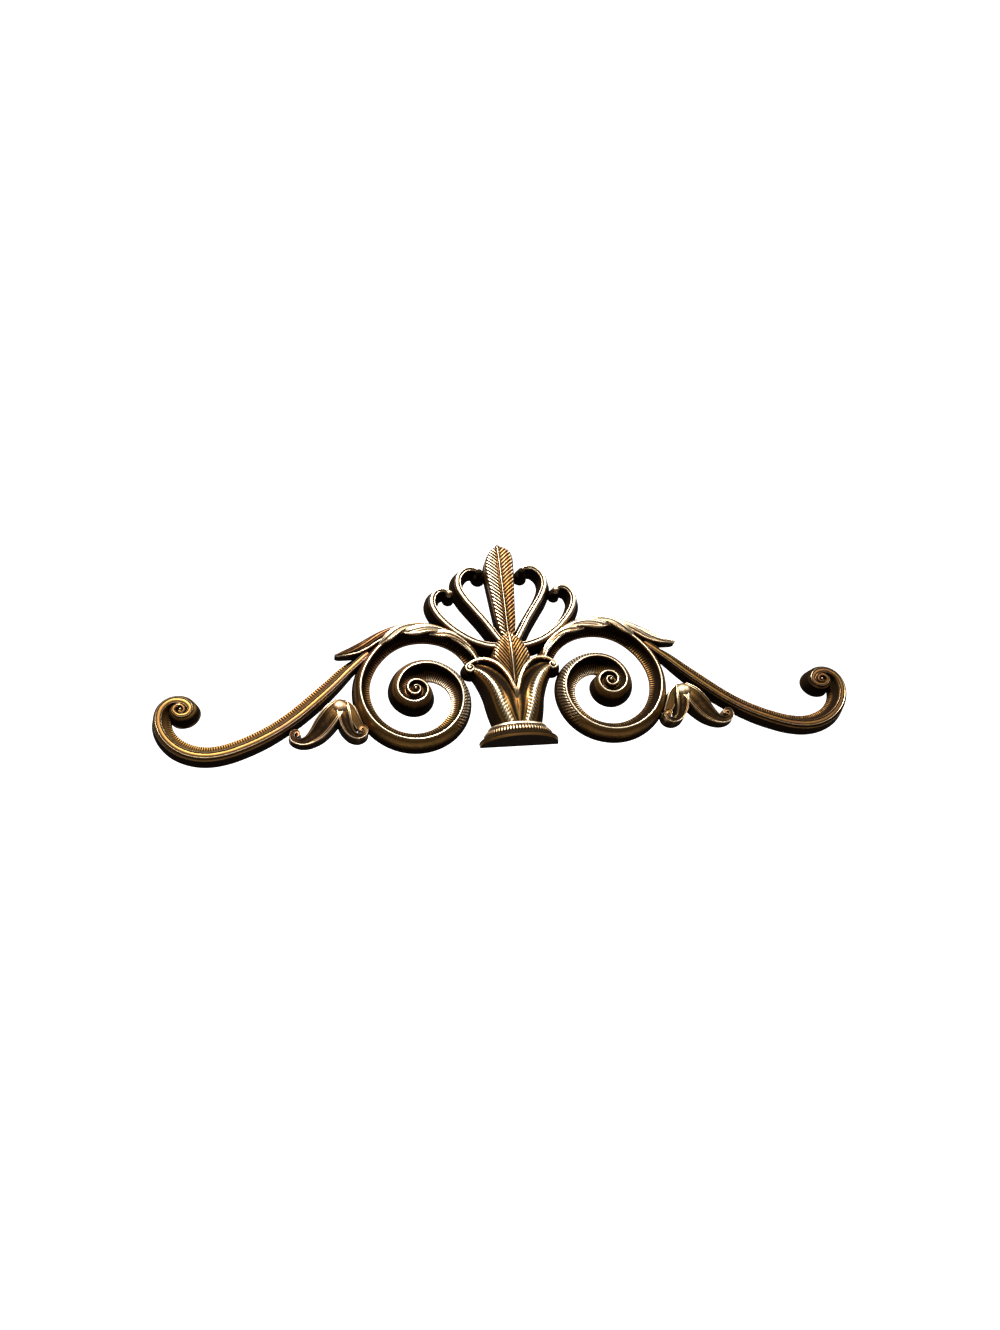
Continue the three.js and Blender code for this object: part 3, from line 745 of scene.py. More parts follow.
@dataclass
class Tail:
    """Tail: a rounded band between two fine ridges, a combed hollow above it and a plain wall below.

    Attributes:
        centre: x and height of the large scroll's eye, which its places are measured from.
        rows: x, height, hollow and flank widths, band and edge depth at each station.
        eye: x and height of its small volute's eye.
        band: Half width of the band.
        step: Distance between sections.
        comb_pitch: Distance between the teeth of the comb.
        comb_depth: Depth of the comb.
        comb_fade: Shares of the path over which the comb fades.
        relief_from: Depth that fine relief starts at.
        curl_dusk: Shares of the path over which painted shade darkens the band's sides.
        curl_shine: Shares of the path over which the volute's end brightens.
        top: Share of the band's half width, rise over the ridge and tone of each knot of the band.
    """

    centre: tuple[float, float] = (86.0, 52.5)
    rows: tuple = (
        (38, 37.5, 5, 2.2, 11, 3), (54, 22.5, 9, 3.4, 12.5, 3.5), (69, 7.5, 10.5, 4.6, 13.2, 3.8),
        (84, -6, 11, 5.5, 13.2, 3.8), (99, -18.5, 11, 5.5, 13.2, 3.8), (114, -29, 11, 5.5, 13.2, 3.8),
        (129, -37.2, 11, 6, 13.2, 3.8), (144, -43.7, 11, 6.2, 13.2, 3.8), (159, -48.5, 11, 6.3, 13.2, 3.8),
        (174, -50.3, 11, 6.4, 13.2, 3.8), (188, -47.9, 11, 6.5, 13.2, 3.8), (200.4, -41, 10.5, 6.8, 13.2, 4),
        (209.4, -30.5, 10, 6.6, 13.4, 4.5), (213.2, -18.5, 10, 6.4, 13.6, 5), (211, -7.3, 9, 6.2, 13.8, 7),
        (203.2, -0.6, 8, 5.8, 14, 8.5), (193.4, -1.1, 6.6, 7, 14.2, 9.5), (187.8, -7.1, 5, 8, 14.4, 10.5),
        (190.2, -12.9, 4, 7, 14.6, 11), (197, -13.9, 3.6, 6.5, 14.8, 11), (201.2, -9.5, 3.2, 5, 15, 11),
        (198.6, -5.2, 2.6, 3.2, 15, 11.4), (194.6, -5.4, 2.2, 2.2, 15.1, 12),
        (192.4, -8.8, 2, 1.8, 15.2, 12.6), (194.1, -11.2, 1.8, 1.6, 15.3, 13),
        (196.9, -10.6, 1.6, 1.4, 15.4, 13.4),
    )
    eye: tuple[float, float] = (195.5, -8.9)
    band: float = 2.3
    step: float = 0.55
    comb_pitch: float = 2.3
    comb_depth: float = 0.42
    comb_fade: tuple = (0.55, 0.62)
    relief_from: float = 3.0
    curl_dusk: tuple = (0.55, 0.66)
    curl_shine: tuple = (0.8, 0.88)
    top: tuple = (
        (-1.12, 0.05, 0.2), (-0.97, 0.2, 0.95), (-0.72, -0.4, -0.6), (-0.4, -0.2, -0.2), (0.0, -0.1, 0.0),
        (0.4, -0.2, -0.3), (0.72, -0.4, -0.65), (0.97, 0.2, 0.5), (1.12, -0.2, -0.3),
    )

    def section(self, sizes: Array) -> Array:
        """Draw the section: wall, lower lip, banded top and quarter-round hollow.

        Args:
            sizes: Hollow and flank widths, ridge and edge depth along the path.

        Returns:
            Offsets, depths and tones of shape (steps, columns, 3).
        """
        width, flank, ridge, edge = sizes
        half = np.minimum(self.band, 0.42 * width)
        # The lower lip darkens down to the wall: dark patina with painted shade.
        lip = [
            (-flank * 0.9, ridge * 0.3, -1.0), (-flank * 0.75, ridge * 0.66, -0.75),
            (-0.5 * (half + flank) - 0.1, ridge - 1.9, -0.5), (-1.22 * half, ridge - 0.7, -0.35),
        ]
        hollow = cove(1.12 * half, width, ridge - 0.2, edge, (-0.3, -0.4), 10)
        gaps = [1.6, 1.6, 0.9, 0.7, 0.45] + [0.38] * 8 + [0.8] * 10 + [3.0]
        return standing([*lip, *knotted(self.top, half, ridge), *hollow], (-flank, width), gaps)

    def ribbon(self) -> Shell:
        """Sweep the section out to the small volute and comb the hollow's edge.

        Returns:
            The closed shell.
        """
        path, sizes = follow(self.rows, self.step, self.centre)
        section = self.section(sizes)
        offset, depth, _ = np.moveaxis(section, -1, 0)
        t, length = path.t[:, None], path.length[:, None]
        band = self.band
        outward = np.clip((offset - band) / (sizes[0][:, None] - band), 0, 1)
        teeth = comb((length + 0.3 * np.sin(length / 5.7)) / self.comb_pitch, 1.3)
        relief = depth > self.relief_from
        reach = step_up(outward, 0.4, 0.85) * relief * (1 - step_up(t, *self.comb_fade))
        patches = 0.75 + 0.25 * np.sin(length / 11.0)
        shift = reach * (-0.15 - 0.6 * teeth) * patches
        sides = step_up(outward, 0.0, 0.1) + step_up(-offset, 1.15 * band, 2.2 * band)
        # Painted shade on the band's sides towards the curl.
        shift -= 0.6 * step_up(t, *self.curl_dusk) * relief * sides
        shift += 0.5 * step_up(t, *self.curl_shine) * (depth > 11.0)
        return carve(path, section, self.comb_depth * teeth * reach, shift)

    def button(self) -> Shell:
        """Turn the core of the end volute and the small bead on it."""
        place = (self.centre[0] + self.eye[0], self.centre[1] + self.eye[1])
        # The core is painted dark as shade in the volute's eye.
        core = [(7.0, 0.0, -1.0), (6.5, 9.8, -1.0), (6.0, 10.5, -1.0), (1.9, 11.5, -0.6)]
        return turned(place, core, dome(1.2, 15.6, 1.8, (0.2, 1.0), 8), 36)

    def build(self) -> Shell:
        """Give the whole right tail."""
        return joined([self.ribbon(), self.button()])


@dataclass
class Leaf:
    """Leaf over the scroll: a long body with a tip, and three lobes that fold over its underside.

    Attributes:
        scroll: The scroll that carries it.
        body: Angle and radius about the scroll's eye, half widths inwards and outwards, depth.
        lobes: The same for each lobe.
        rim_depth: Depth of the outer edge.
        body_painted_light: Tone of the body's broad side and outer slope, painted lighter or darker as light
            falls on it.
        lobe_painted_light: Tone of the lobes' broad side, a painted highlight.
        step: Distance between sections.
        vein_pitch: Distance between the long fine veins.
        vein_depth: Depth of the veins.
    """

    scroll: LargeScroll
    body: tuple = (
        (26, 62, 2, 1.6, 12), (34, 63.2, 3, 2.2, 13.5), (46, 63, 4, 3, 14.5), (60, 62.2, 4.4, 3.4, 15),
        (74, 61.6, 4.6, 3.6, 15), (90, 60.2, 4.8, 3.8, 15.5), (106, 58.8, 4.4, 4.3, 15.5),
        (121, 58.6, 4.6, 4.6, 15), (133, 60.2, 5, 4.6, 14), (142, 65, 4.2, 3.6, 12.5),
        (149, 72.5, 1.8, 1.8, 11), (151, 76.5, 0.4, 0.4, 10),
    )
    lobes: tuple = (
        (
            (86, 61.5, 1.8, 1.8, 15.5), (95, 59.8, 3.2, 3, 17.2), (104, 57.2, 4.8, 4.4, 18),
            (112, 54.8, 4.8, 4.2, 17.2), (119, 53, 2.6, 2.4, 15.4), (124.5, 51.2, 0.4, 0.4, 13.5),
        ),
        (
            (58, 62, 1.8, 1.8, 15), (67, 61.2, 3.4, 3.2, 16.8), (77, 59.2, 5.6, 4.6, 18),
            (85, 57.2, 6.2, 5.2, 18), (92, 55.8, 4.4, 4.2, 16.8), (98, 54.8, 0.5, 0.5, 15),
        ),
        (
            (34, 63.6, 1, 1, 13.5), (46, 63.2, 2.4, 2, 15.2), (56, 61.6, 4, 3.6, 16.6),
            (63, 59.2, 4.4, 4, 16.6), (68.5, 56.8, 2.8, 2.6, 15.2), (72.5, 54.4, 0.4, 0.4, 14),
        ),
    )
    rim_depth: float = 12.5
    body_painted_light: float = 0.9
    lobe_painted_light: float = 1.0
    step: float = 0.45
    vein_pitch: float = 2.3
    vein_depth: float = 0.2

    def leaflet(self, rows: tuple, painted_light: float, edge: float) -> Shell:
        """Sweep one leaflet: a rim bead, a channel, a soft ridge and a slope to the outer edge.

        Args:
            rows: Its row list.
            painted_light: Tone of its broad side, painted lighter or darker as light falls on it.
            edge: Tone of its outer slope, which carries painted light and shade.

        Returns:
            The closed shell.
        """

        def place(t: Array) -> Array:
            """Give the middle line's point at each place."""
            angle, radius = spline(rows, t)[..., :2].T
            return self.scroll.about_eye(np.radians(angle), radius)

        path = walk(place, self.step)
        inner, outer, top = spline(rows, path.t).T[2:]
        rim = np.minimum(top - 0.6, self.rim_depth)
        bead = (
            (1.0, -2.2, -0.9), (0.98, -0.9, 0.3), (0.92, -0.2, 1.0), (0.8, -0.15, 0.9),
            (0.7, -0.8, painted_light - 0.5), (0.5, -0.75, painted_light - 0.05), (0.15, -0.15, painted_light + 0.1),
        )
        slope = [
            (0.12 * outer, top, painted_light + 0.1), (0.45 * outer, top - 0.25, painted_light),
            (0.7 * outer, 0.5 * (top + rim), edge), (0.93 * outer, rim + 0.2, edge),
            (outer, rim - 0.6, -0.3), (outer, rim - 2.0, -1.0),
        ]
        gaps = [3.0, 0.7] + [0.4] * 10 + [0.7, 3.0]
        section = standing([*knotted(bead, -inner, top), *slope], (-inner, outer), gaps)
        offset, depth, _ = np.moveaxis(section, -1, 0)
        share = np.abs(offset) / np.maximum(np.where(offset < 0, inner[:, None], outer[:, None]), 0.3)
        veins = comb(offset / self.vein_pitch + 0.03 * path.length[:, None], 1.6)
        veins = veins * step_up(depth, 6.0, 9.0) * (1 - step_up(share, 0.6, 0.8))
        return carve(path, section, self.vein_depth * veins, -0.4 * veins)

    def build(self) -> Shell:
        """Give the whole right leaf."""
        # Lobes get a painted highlight on the broad side and a painted shadow, -0.7, on the outer slope
        # beneath them.
        lobes = [self.leaflet(rows, self.lobe_painted_light, -0.7) for rows in self.lobes]
        return joined([self.leaflet(self.body, self.body_painted_light, self.body_painted_light), *lobes])


@dataclass
class StrapLoop:
    """Strap loop of the crest: a rounded strap with a fine line on it, ending in a ball on a drum.

    Attributes:
        rows: x, height and half width at each station.
        hook: x and height of the ball.
        drum: Radius of the drum at the wall.
        crown: Depth of the strap's top.
        ball_tone: Painted light at the ball's top: high for a lit ball, low for one in shade.
        inner_flare: How far the side inside the loop spreads down to the wall.
        outer_flare: The same for the outer side.
        step: Distance between sections.
        face: Share of the half width, rise over the crown and tone of each knot of the strap's face, whose
            bright knots are a painted highlight.
    """

    rows: tuple
    hook: tuple[float, float]
    drum: float
    ball_tone: float
    crown: float = 15.0
    inner_flare: float = 3.0
    outer_flare: float = 4.0
    step: float = 0.5
    face: tuple = (
        (-1.0, -2.4, -0.5), (-0.85, -1.0, -0.1), (-0.5, -0.2, 0.55), (-0.1, 0.0, 0.75), (0.2, -0.4, 0.3),
        (0.38, -1.05, -0.7), (0.56, -0.9, -0.2), (0.76, -0.3, 0.5), (0.92, -0.6, 0.2), (1.0, -2.0, -0.6),
    )

    def strap(self) -> Shell:
        """Sweep the strap.

        Returns:
            The closed shell.
        """
        path, (half,) = follow(self.rows, self.step)
        crown = self.crown
        # The face's bright knots paint a soft highlight down the strap.
        face = knotted(self.face, half, crown)
        knots = [(-half - 0.5, crown - 4.4, -0.85), *face, (half + 0.4, crown - 4.2, -0.95)]
        feet = (-half - self.outer_flare, half + self.inner_flare)
        section = standing(knots, feet, [1.6, 0.7] + [0.42] * 9 + [0.7, 1.6])
        return carve(path, section)

    def ball(self) -> Shell:
        """Turn the ball and its drum."""
        wide = self.drum
        # The drum is painted dark as shade under the ball.
        drum = [(wide, 0.0, -1.0), (wide - 1.2, 8.0, -1.0), (wide - 1.9, 10.2, -0.8), (3.1, 11.0, -0.8)]
        angle = np.linspace(-0.35 * np.pi, 0.5 * np.pi, 14)
        rise = np.sin(angle)
        radius = np.maximum(3.3 * np.cos(angle), 0.05)
        # The ball is painted darker below and lighter on top, as light falls on it.
        ball = np.stack([radius, 14.7 + 3.3 * rise, self.ball_tone - 0.5 + 0.5 * rise], axis=1)
        return turned(self.hook, drum, ball, 36)

    def build(self) -> Shell:
        """Give the loop with its hook."""
        return joined([self.strap(), self.ball()])


@dataclass
class UprightLeaf:
    """Upright leaf on the centre line, with a thin midrib and slanting barbs.

    Attributes:
        rows: Height, left and right half widths and midrib depth at each station.
        edge_drop: How far its edges lie below its midrib.
        barb_pitch: Distance between barbs, measured upwards.
        barb_depth: Depth of the barbs.
        barb_slant: How far a barb climbs for each millimetre outwards.
        right_barbs: Strength of the barbs on the right half, against 1 on the left.
        barb_width: Power that narrows the grooves between barbs.
        painted_light: Tone of the left and of the right half, painted lighter or darker as light falls on
            each.
        channel: Tone beside the midrib.
        dip: Depth of the channel beside the midrib, as a share of the edge's drop.
        rib: Width of the midrib, against 1 for a thin one.
        lit: Added tone along the midrib's upper half.
        dusk: Painted shade, as tone taken off towards its root.
        flare: Share of its half width that it spreads at the wall.
        barb_band: Shares of the half width where the barbs rise and fade.
        relief_from: Depth that they start at.
        step: Distance between sections.
    """

    rows: tuple
    edge_drop: float
    barb_pitch: float
    barb_depth: float
    barb_slant: float
    right_barbs: float
    barb_width: float
    painted_light: tuple[float, float]
    channel: float
    rib: float
    dip: float
    lit: float = 0.0
    dusk: float = 0.0
    flare: float = 0.06
    barb_band: tuple = (0.1, 0.2, 0.93, 1.0)
    relief_from: float = 4.0
    step: float = 0.35

    def build(self) -> Shell:
        """Sweep the leaf upwards and cut its barbs.

        Returns:
            The closed shell.
        """
        path, (left, right, top) = follow([(0.0, *row) for row in self.rows], self.step)
        drop = self.edge_drop
        thin = self.rib * np.clip(0.5 * (left + right) / 6.0, 0.1, 1.0)
        halves = []
        for width, sign, painted_light in ((right, -1.0, self.painted_light[1]), (left, 1.0, self.painted_light[0])):
            table = (
                (1.0, -1.0 * drop, -0.4), (0.97, -0.62 * drop, 0.4), (0.88, -0.28 * drop, max(painted_light, 0.6)),
                (0.72, -0.14 * drop, painted_light), (0.5, -0.12 * drop, painted_light),
                (0.33, -(0.06 + 0.38 * self.dip) * drop, 0.6 * painted_light + 0.4 * self.channel),
            )
            ribs = [
                (sign * (0.14 * width + 0.4 * thin), top - self.dip * drop, self.channel),
                (sign * 0.75 * thin, top - 0.64 * self.dip * drop, -0.5),
                (sign * 0.4 * thin, top - 0.02 * drop, 0.9),
            ]
            halves.append([*knotted(table, sign * width, top), *ribs])
        gaps = [2.0] + [0.45] * 8 + [0.3, 0.3] + [0.45] * 8 + [2.0]
        feet = (-right * (1 + self.flare), left * (1 + self.flare))
        section = standing([*halves[0], (0.0, top + 0.15, 1.0), *halves[1][::-1]], feet, gaps)
        offset, depth, _ = np.moveaxis(section, -1, 0)
        t, climb = path.t[:, None], path.points[:, 1:] - self.barb_slant * np.abs(offset)
        share = np.abs(offset) / np.maximum(np.where(offset > 0, left[:, None], right[:, None]), 0.3)
        band = between(share, self.barb_band) * (depth > self.relief_from)
        strength = np.where(offset > 0, 1.0, self.right_barbs)
        barbs = comb(climb / self.barb_pitch, self.barb_width) * band * strength
        # Painted highlight along the midrib's upper half, and painted shade towards the root.
        lit = self.lit * (1 - step_up(np.abs(offset), 2.0, 4.4)) * step_up(t, 0.5, 0.68)
        shift = lit - 1.3 * barbs - self.dusk * (1 - step_up(t, 0.1, 0.6))
        return carve(path, section, self.barb_depth * barbs, shift)


@dataclass
class Petal:
    """Tulip petal of the urn: a rounded dark side, a bright hatched rib and a hollow under the rim.

    Attributes:
        rows: x, height, widths outwards and inwards, depth of the rib and of the hollow.
        rim_rows: x, height and depth of the raised rim.
        curl: x and height of the curl's eye.
        curl_radius: Radius of the curl.
        step: Distance between sections.
        hatch_pitch: Distance between the hatched lines of the rib.
        hatch_depth: Depth of the hatching.
        back: Share of the outward width, share of the rib's depth and tone of each knot of its dark side.
        bead: Offset, rise and tone of each knot of the rim.
        curl_bead: Share of the half width, rise and tone of each knot of the curl.
    """

    rows: tuple = (
        (3.5, 10, 15, 5, 16.5, 16.5), (8.2, 19.5, 14, 9.5, 17.5, 17.2), (12, 28.4, 12.6, 13, 18.8, 17.6),
        (14.8, 37, 11.6, 16, 19.8, 17), (17.4, 45.3, 10.4, 17, 20.2, 15), (20.5, 53, 9.6, 15.5, 19.8, 13),
        (24.6, 60, 8.4, 13, 18.4, 12), (29.2, 65.6, 6.8, 9.5, 16, 11.5), (34, 69.4, 5, 6, 13, 10.5),
        (38.6, 71.4, 4, 3, 10.5, 9),
    )
    rim_rows: tuple = (
        (0, 35, 15.5), (0.6, 42.5, 20.5), (2.6, 49.5, 21.5), (5.4, 57.5, 21.5), (10, 66, 20.5),
        (16.2, 73, 18.8), (23.6, 77, 16.5), (31.2, 77.2, 14.5), (37.2, 74.6, 13),
    )
    curl: tuple[float, float] = (36.5, 70.6)
    curl_radius: float = 5.2
    step: float = 0.45
    hatch_pitch: float = 3.1
    hatch_depth: float = 0.16
    back: tuple = (
        (-0.95, 0.16, -1.0), (-0.86, 0.36, -0.9), (-0.7, 0.56, -0.95), (-0.52, 0.71, -0.8),
        (-0.34, 0.84, -0.1), (-0.2, 0.93, 0.6), (-0.06, 0.99, 0.8),
    )
    bead: tuple = (
        (-1.5, -2.4, -0.9), (-1.3, -0.9, -0.2), (-0.75, -0.05, 0.9), (-0.1, 0.05, 1.0), (0.3, -0.3, 0.2),
        (0.6, -0.5, -0.2), (1.0, -0.35, 0.7), (1.35, -0.9, 0.0), (1.5, -2.4, -0.9),
    )
    curl_bead: tuple = (
        (-1.0, -2.4, -0.9), (-0.95, -0.9, 0.2), (-0.5, -0.1, 0.9), (0.0, 0.0, 1.0), (0.5, -0.1, 0.9),
        (0.95, -0.9, 0.2), (1.0, -2.4, -0.9),
    )

    def body(self) -> Shell:
        """Sweep the petal and hatch its rib.

        Returns:
            The closed shell.
        """
        path, (outer, inner, top, floor) = follow(self.rows, self.step)
        # The rib's bright tones are partly rubbed and partly a painted highlight.
        back = [(share * outer, rise * top, tone) for share, rise, tone in self.back]
        front = [
            (0.08 * inner, 0.995 * top, 0.9), (0.18 * inner, 0.94 * top, 0.8),
            (0.3 * inner, 0.5 * (0.9 * top + floor), 0.6), (0.44 * inner, floor + 0.15, -0.6),
            (0.64 * inner, floor, -0.9), (0.85 * inner, floor, -0.4), (inner, floor, -0.2),
        ]
        section = standing([*back, *front], (-outer, inner), [1.5] + [0.6] * 13 + [3.0], 2)
        offset = section[..., 0]
        hatch = comb((path.length[:, None] - 0.5 * offset) / self.hatch_pitch, 1.2)
        hatch = hatch * step_up(offset / outer[:, None], -0.42, -0.22)
        hatch *= 1 - step_up(offset / inner[:, None], 0.3, 0.42)
        return carve(path, section, self.hatch_depth * hatch, -0.35 * hatch)

    def rim(self) -> Shell:
        """Sweep the raised rim: a thin bead with a fine line on its inner side.

        Returns:
            The closed shell.
        """
        path, (top,) = follow(self.rim_rows, 0.4)
        gaps = [2.5, 0.6] + [0.33] * 6 + [0.5, 2.5]
        section = standing(knotted(self.bead, 1.0, top), (-1.6, 1.6), gaps)
        return carve(path, section)

    def curled_end(self) -> Shell:
        """Sweep the rim's end round its curl: a spiral that closes by equal steps in each turn.

        Returns:
            The closed shell.
        """

        def place(t: Array) -> Array:
            """Give the spiral's point at each place, from its top inwards."""
            angle = 0.5 * np.pi - t * 2.8 * np.pi
            reach = self.curl_radius - 0.8 - (self.curl_radius - 1.9) * t
            return np.array(self.curl) + reach[:, None] * np.stack([np.cos(angle), np.sin(angle)], axis=-1)

        path = walk(place, 0.3)
        half = 0.9 - 0.2 * path.t
        knots = knotted(self.curl_bead, half, 13.2 + 1.6 * path.t)
        section = standing(knots, (-half - 0.3, half + 0.3), [3.0, 0.5] + [0.3] * 4 + [0.5, 3.0])
        return carve(path, section)

    def drum(self) -> Shell:
        """Turn the drum under the curl, painted dark as shade, with a small ball in its eye."""
        drum = [(8.0, 0.0, -1.0), (7.4, 5.0, -1.0), (6.4, 8.4, -1.0), (5.0, 10.5, -0.9), (1.6, 11.6, -0.8)]
        return turned(self.curl, drum, dome(1.1, 15.0, 1.6, (0.0, 1.0), 8), 36)

    def build(self) -> Shell:
        """Give the whole right petal."""
        return joined([self.body(), self.rim(), self.curled_end(), self.drum()])


@dataclass
class Foot:
    """Foot of the urn, half round in plan, with an upright-cut roll between plain fillets.

    Attributes:
        rows: Height, half width at the wall and depth of the front at each level.
        tones: Tone of the finish at each level, the flared base's dark levels being painted shade.
        facets: Points round the front.
        cut_band: Heights where the upright cuts rise and fade.
        cuts: Number of cuts round the front.
        cut_depth: Their depth.
    """

    rows: tuple = (
        (0, 34, 24.4), (1.5, 34.4, 24.8), (2.6, 34.6, 25), (3.8, 34.6, 25), (4.7, 34.2, 24.6),
        (5.4, 33.4, 24), (6.2, 29.6, 21.2), (8, 30.4, 22), (10.2, 30, 21.7), (12.4, 28, 20),
        (13.2, 25.8, 18.2), (14, 26.6, 18.8), (15.8, 26.2, 18.4), (16.8, 24, 16.6), (19, 20, 13),
    )
    tones: tuple = (-1, 0.2, -1, -1, -1, -1, -1, 0.1, 0.4, 0.3, -0.7, 0.6, 0.6, -0.4, -0.6)
    facets: int = 260
    cut_band: tuple = (6.6, 7.3, 12.2, 12.9)
    cuts: int = 34
    cut_depth: float = 0.4

    def build(self) -> Shell:
        """Loft the levels: x is the half width times the angle's cosine, depth that of its sine.

        Returns:
            The closed shell.
        """
        tones = np.array(self.tones, dtype=float)[:, None]
        knots = np.concatenate([np.array(self.rows, dtype=float), tones], axis=1)[None]
        level = filled(knots, [0.4] * (len(self.rows) - 1), 2)[0]
        angle = np.linspace(0.0, np.pi, self.facets)
        height = np.broadcast_to(level[:, :1], (len(level), self.facets))
        cuts = comb(self.cuts * angle / np.pi, 1.4) * between(height, self.cut_band)
        x = (level[:, 1:2] - self.cut_depth * cuts) * np.cos(angle)
        depth = (level[:, 2:3] - self.cut_depth * cuts) * np.sin(angle)
        return shell_of(np.stack([x, -depth, height], axis=-1), level[:, 3:] - 1.3 * cuts)


@dataclass
class Bud:
    """Bellflower bud: two rimmed petals under a knob, with two sepals.

    Attributes:
        knob: x and height of the knob.
        outer: Rows of the outer petal: offset from the knob, half widths and depth.
        inner: Rows of the inner petal.
        sepals: Rows of the two sepals.
        end_painted_light: How much brighter the curled ends are painted, as a highlight.
        top_painted_light: How much brighter the petals are painted under the knob, as a highlight.
        petal_half: Share of the half width, rise and tone of each knot, from a petal's edge to its middle.
        sepal_half: The same for a sepal.
        step: Distance between sections.
    """

    knob: tuple[float, float] = (151.0, 38.5)
    outer: tuple = (
        (-1, 4, 6, 6, 15), (6, -4, 8, 8, 17), (13, -12.5, 8.4, 8.4, 15.5), (20, -20.5, 7, 7, 13),
        (27.5, -26, 4.4, 4.6, 11.5), (34.6, -27.2, 2.8, 3, 10.5), (40, -24, 2.2, 2.6, 10),
        (40, -19.2, 1.7, 2.4, 10), (36.8, -18, 1.4, 1.8, 10.3), (35.2, -20.6, 0.9, 1.4, 10.8),
        (37.2, -22.2, 0.5, 0.9, 11.2),
    )
    inner: tuple = (
        (-1, 4, 6, 6, 15), (-3, -6, 5.8, 5.8, 17), (-4.4, -15.5, 5.2, 5.2, 16.5), (-8, -23.4, 3.4, 3.6, 15),
        (-13.6, -26.6, 2.2, 2.6, 14), (-19, -24.6, 1.8, 2.4, 14), (-20.6, -20, 1.5, 2.2, 14),
        (-17.4, -17.6, 1.3, 1.8, 14.2), (-15.2, -20.2, 0.9, 1.4, 14.5), (-17.2, -22.2, 0.5, 0.9, 14.8),
    )
    sepals: tuple = (
        ((2, 6, 3, 3, 12), (9, 1, 3, 3, 11), (17, -7.6, 2.6, 2.6, 9.5), (24, -17, 1.6, 1.6, 7)),
        ((-2, 6, 3, 3, 12), (-8.2, 0.4, 3.8, 4.4, 11), (-12, -8.2, 4.2, 4.6, 9.6), (-16, -16.2, 3.6, 3.8, 7)),
    )
    end_painted_light: float = 0.8
    top_painted_light: float = 0.3
    petal_half: tuple = (
        (1.0, -2.2, -0.8), (0.98, -1.0, -0.1), (0.9, -0.2, 0.5), (0.82, -0.4, -0.4), (0.76, -0.75, -0.8),
        (0.68, -0.45, 0.2), (0.58, -0.95, -0.8), (0.3, -1.4, -0.7),
    )
    sepal_half: tuple = ((1.0, -1.2, -0.6), (0.86, -0.15, 0.7), (0.66, -0.5, -0.4), (0.3, -0.4, -0.5))
    step: float = 0.45

    def strip(self, rows: tuple, rims: bool) -> Shell:
        """Sweep a petal or a sepal.

        Args:
            rows: Its row list.
            rims: Whether it has double rims and a hollow, as a petal has.

        Returns:
            The closed shell.
        """
        path, (left, right, top) = follow(rows, self.step, self.knob)
        half = self.petal_half if rims else self.sepal_half
        flare = 0.8 if rims else 0.2
        knots = [*knotted(half, -right, top), *knotted(half[::-1], left, top)]
        gaps = [2.0] + [0.42] * (2 * len(half) - 1) + [2.0]
        section = standing(knots, (-right - flare, left + flare), gaps)
        if not rims:
            return carve(path, section)
        t, depth = path.t[:, None], section[..., 1]
        # Painted highlights on the curled ends and on the petals' tops under the knob.
        curled = step_up(t, 0.45, 0.75) * step_up(depth, 8.0, 9.5)
        lit = (1 - step_up(t, 0.03, 0.2)) * step_up(depth, 12.0, 14.0)
        return carve(path, section, 0.0, self.end_painted_light * curled + self.top_painted_light * lit)

    def cap(self) -> Shell:
        """Turn the knob, its dome painted brighter to the top as a highlight and its stem dark as shade."""
        stem = [(8.4, 0.0, -1.0), (8.1, 10.4, -0.9), (8.0, 11.4, -0.7)]
        return turned(self.knob, stem, dome(8.0, 17.1, 5.4, (0.1, 0.5), 16), 48)

    def build(self) -> Shell:
        """Give the whole right bud."""
        strips = [self.strip(self.outer, True), self.strip(self.inner, True)]
        return joined([*strips, *[self.strip(rows, False) for rows in self.sepals], self.cap()])


# The tall loop's ball is painted in shade and the low loop's ball painted lit.
TALL_LOOP = StrapLoop(
    rows=(
        (6, 93, 2.8), (12, 103, 2.8), (19, 115, 2.8), (27, 127, 2.8), (34.5, 138.5, 2.8),
        (39.3, 150, 2.8), (38.3, 160.5, 2.8), (31.5, 168, 2.6), (23.6, 168.4, 2.2), (18.6, 164.6, 1.6),
    ),
    hook=(19.4, 163.6),
    drum=6.6,
    ball_tone=-0.8,
)
LOW_LOOP = StrapLoop(
    rows=(
        (8, 90, 2.8), (18, 91.2, 2.8), (31, 96, 2.8), (43, 104, 2.8), (53, 113.5, 2.8),
        (61, 124.5, 2.8), (64.4, 135.5, 2.8), (61, 145, 2.6), (53.8, 148, 2.2), (48, 144.6, 1.6),
    ),
    hook=(48.6, 143.4),
    drum=5.4,
    ball_tone=0.65,
)
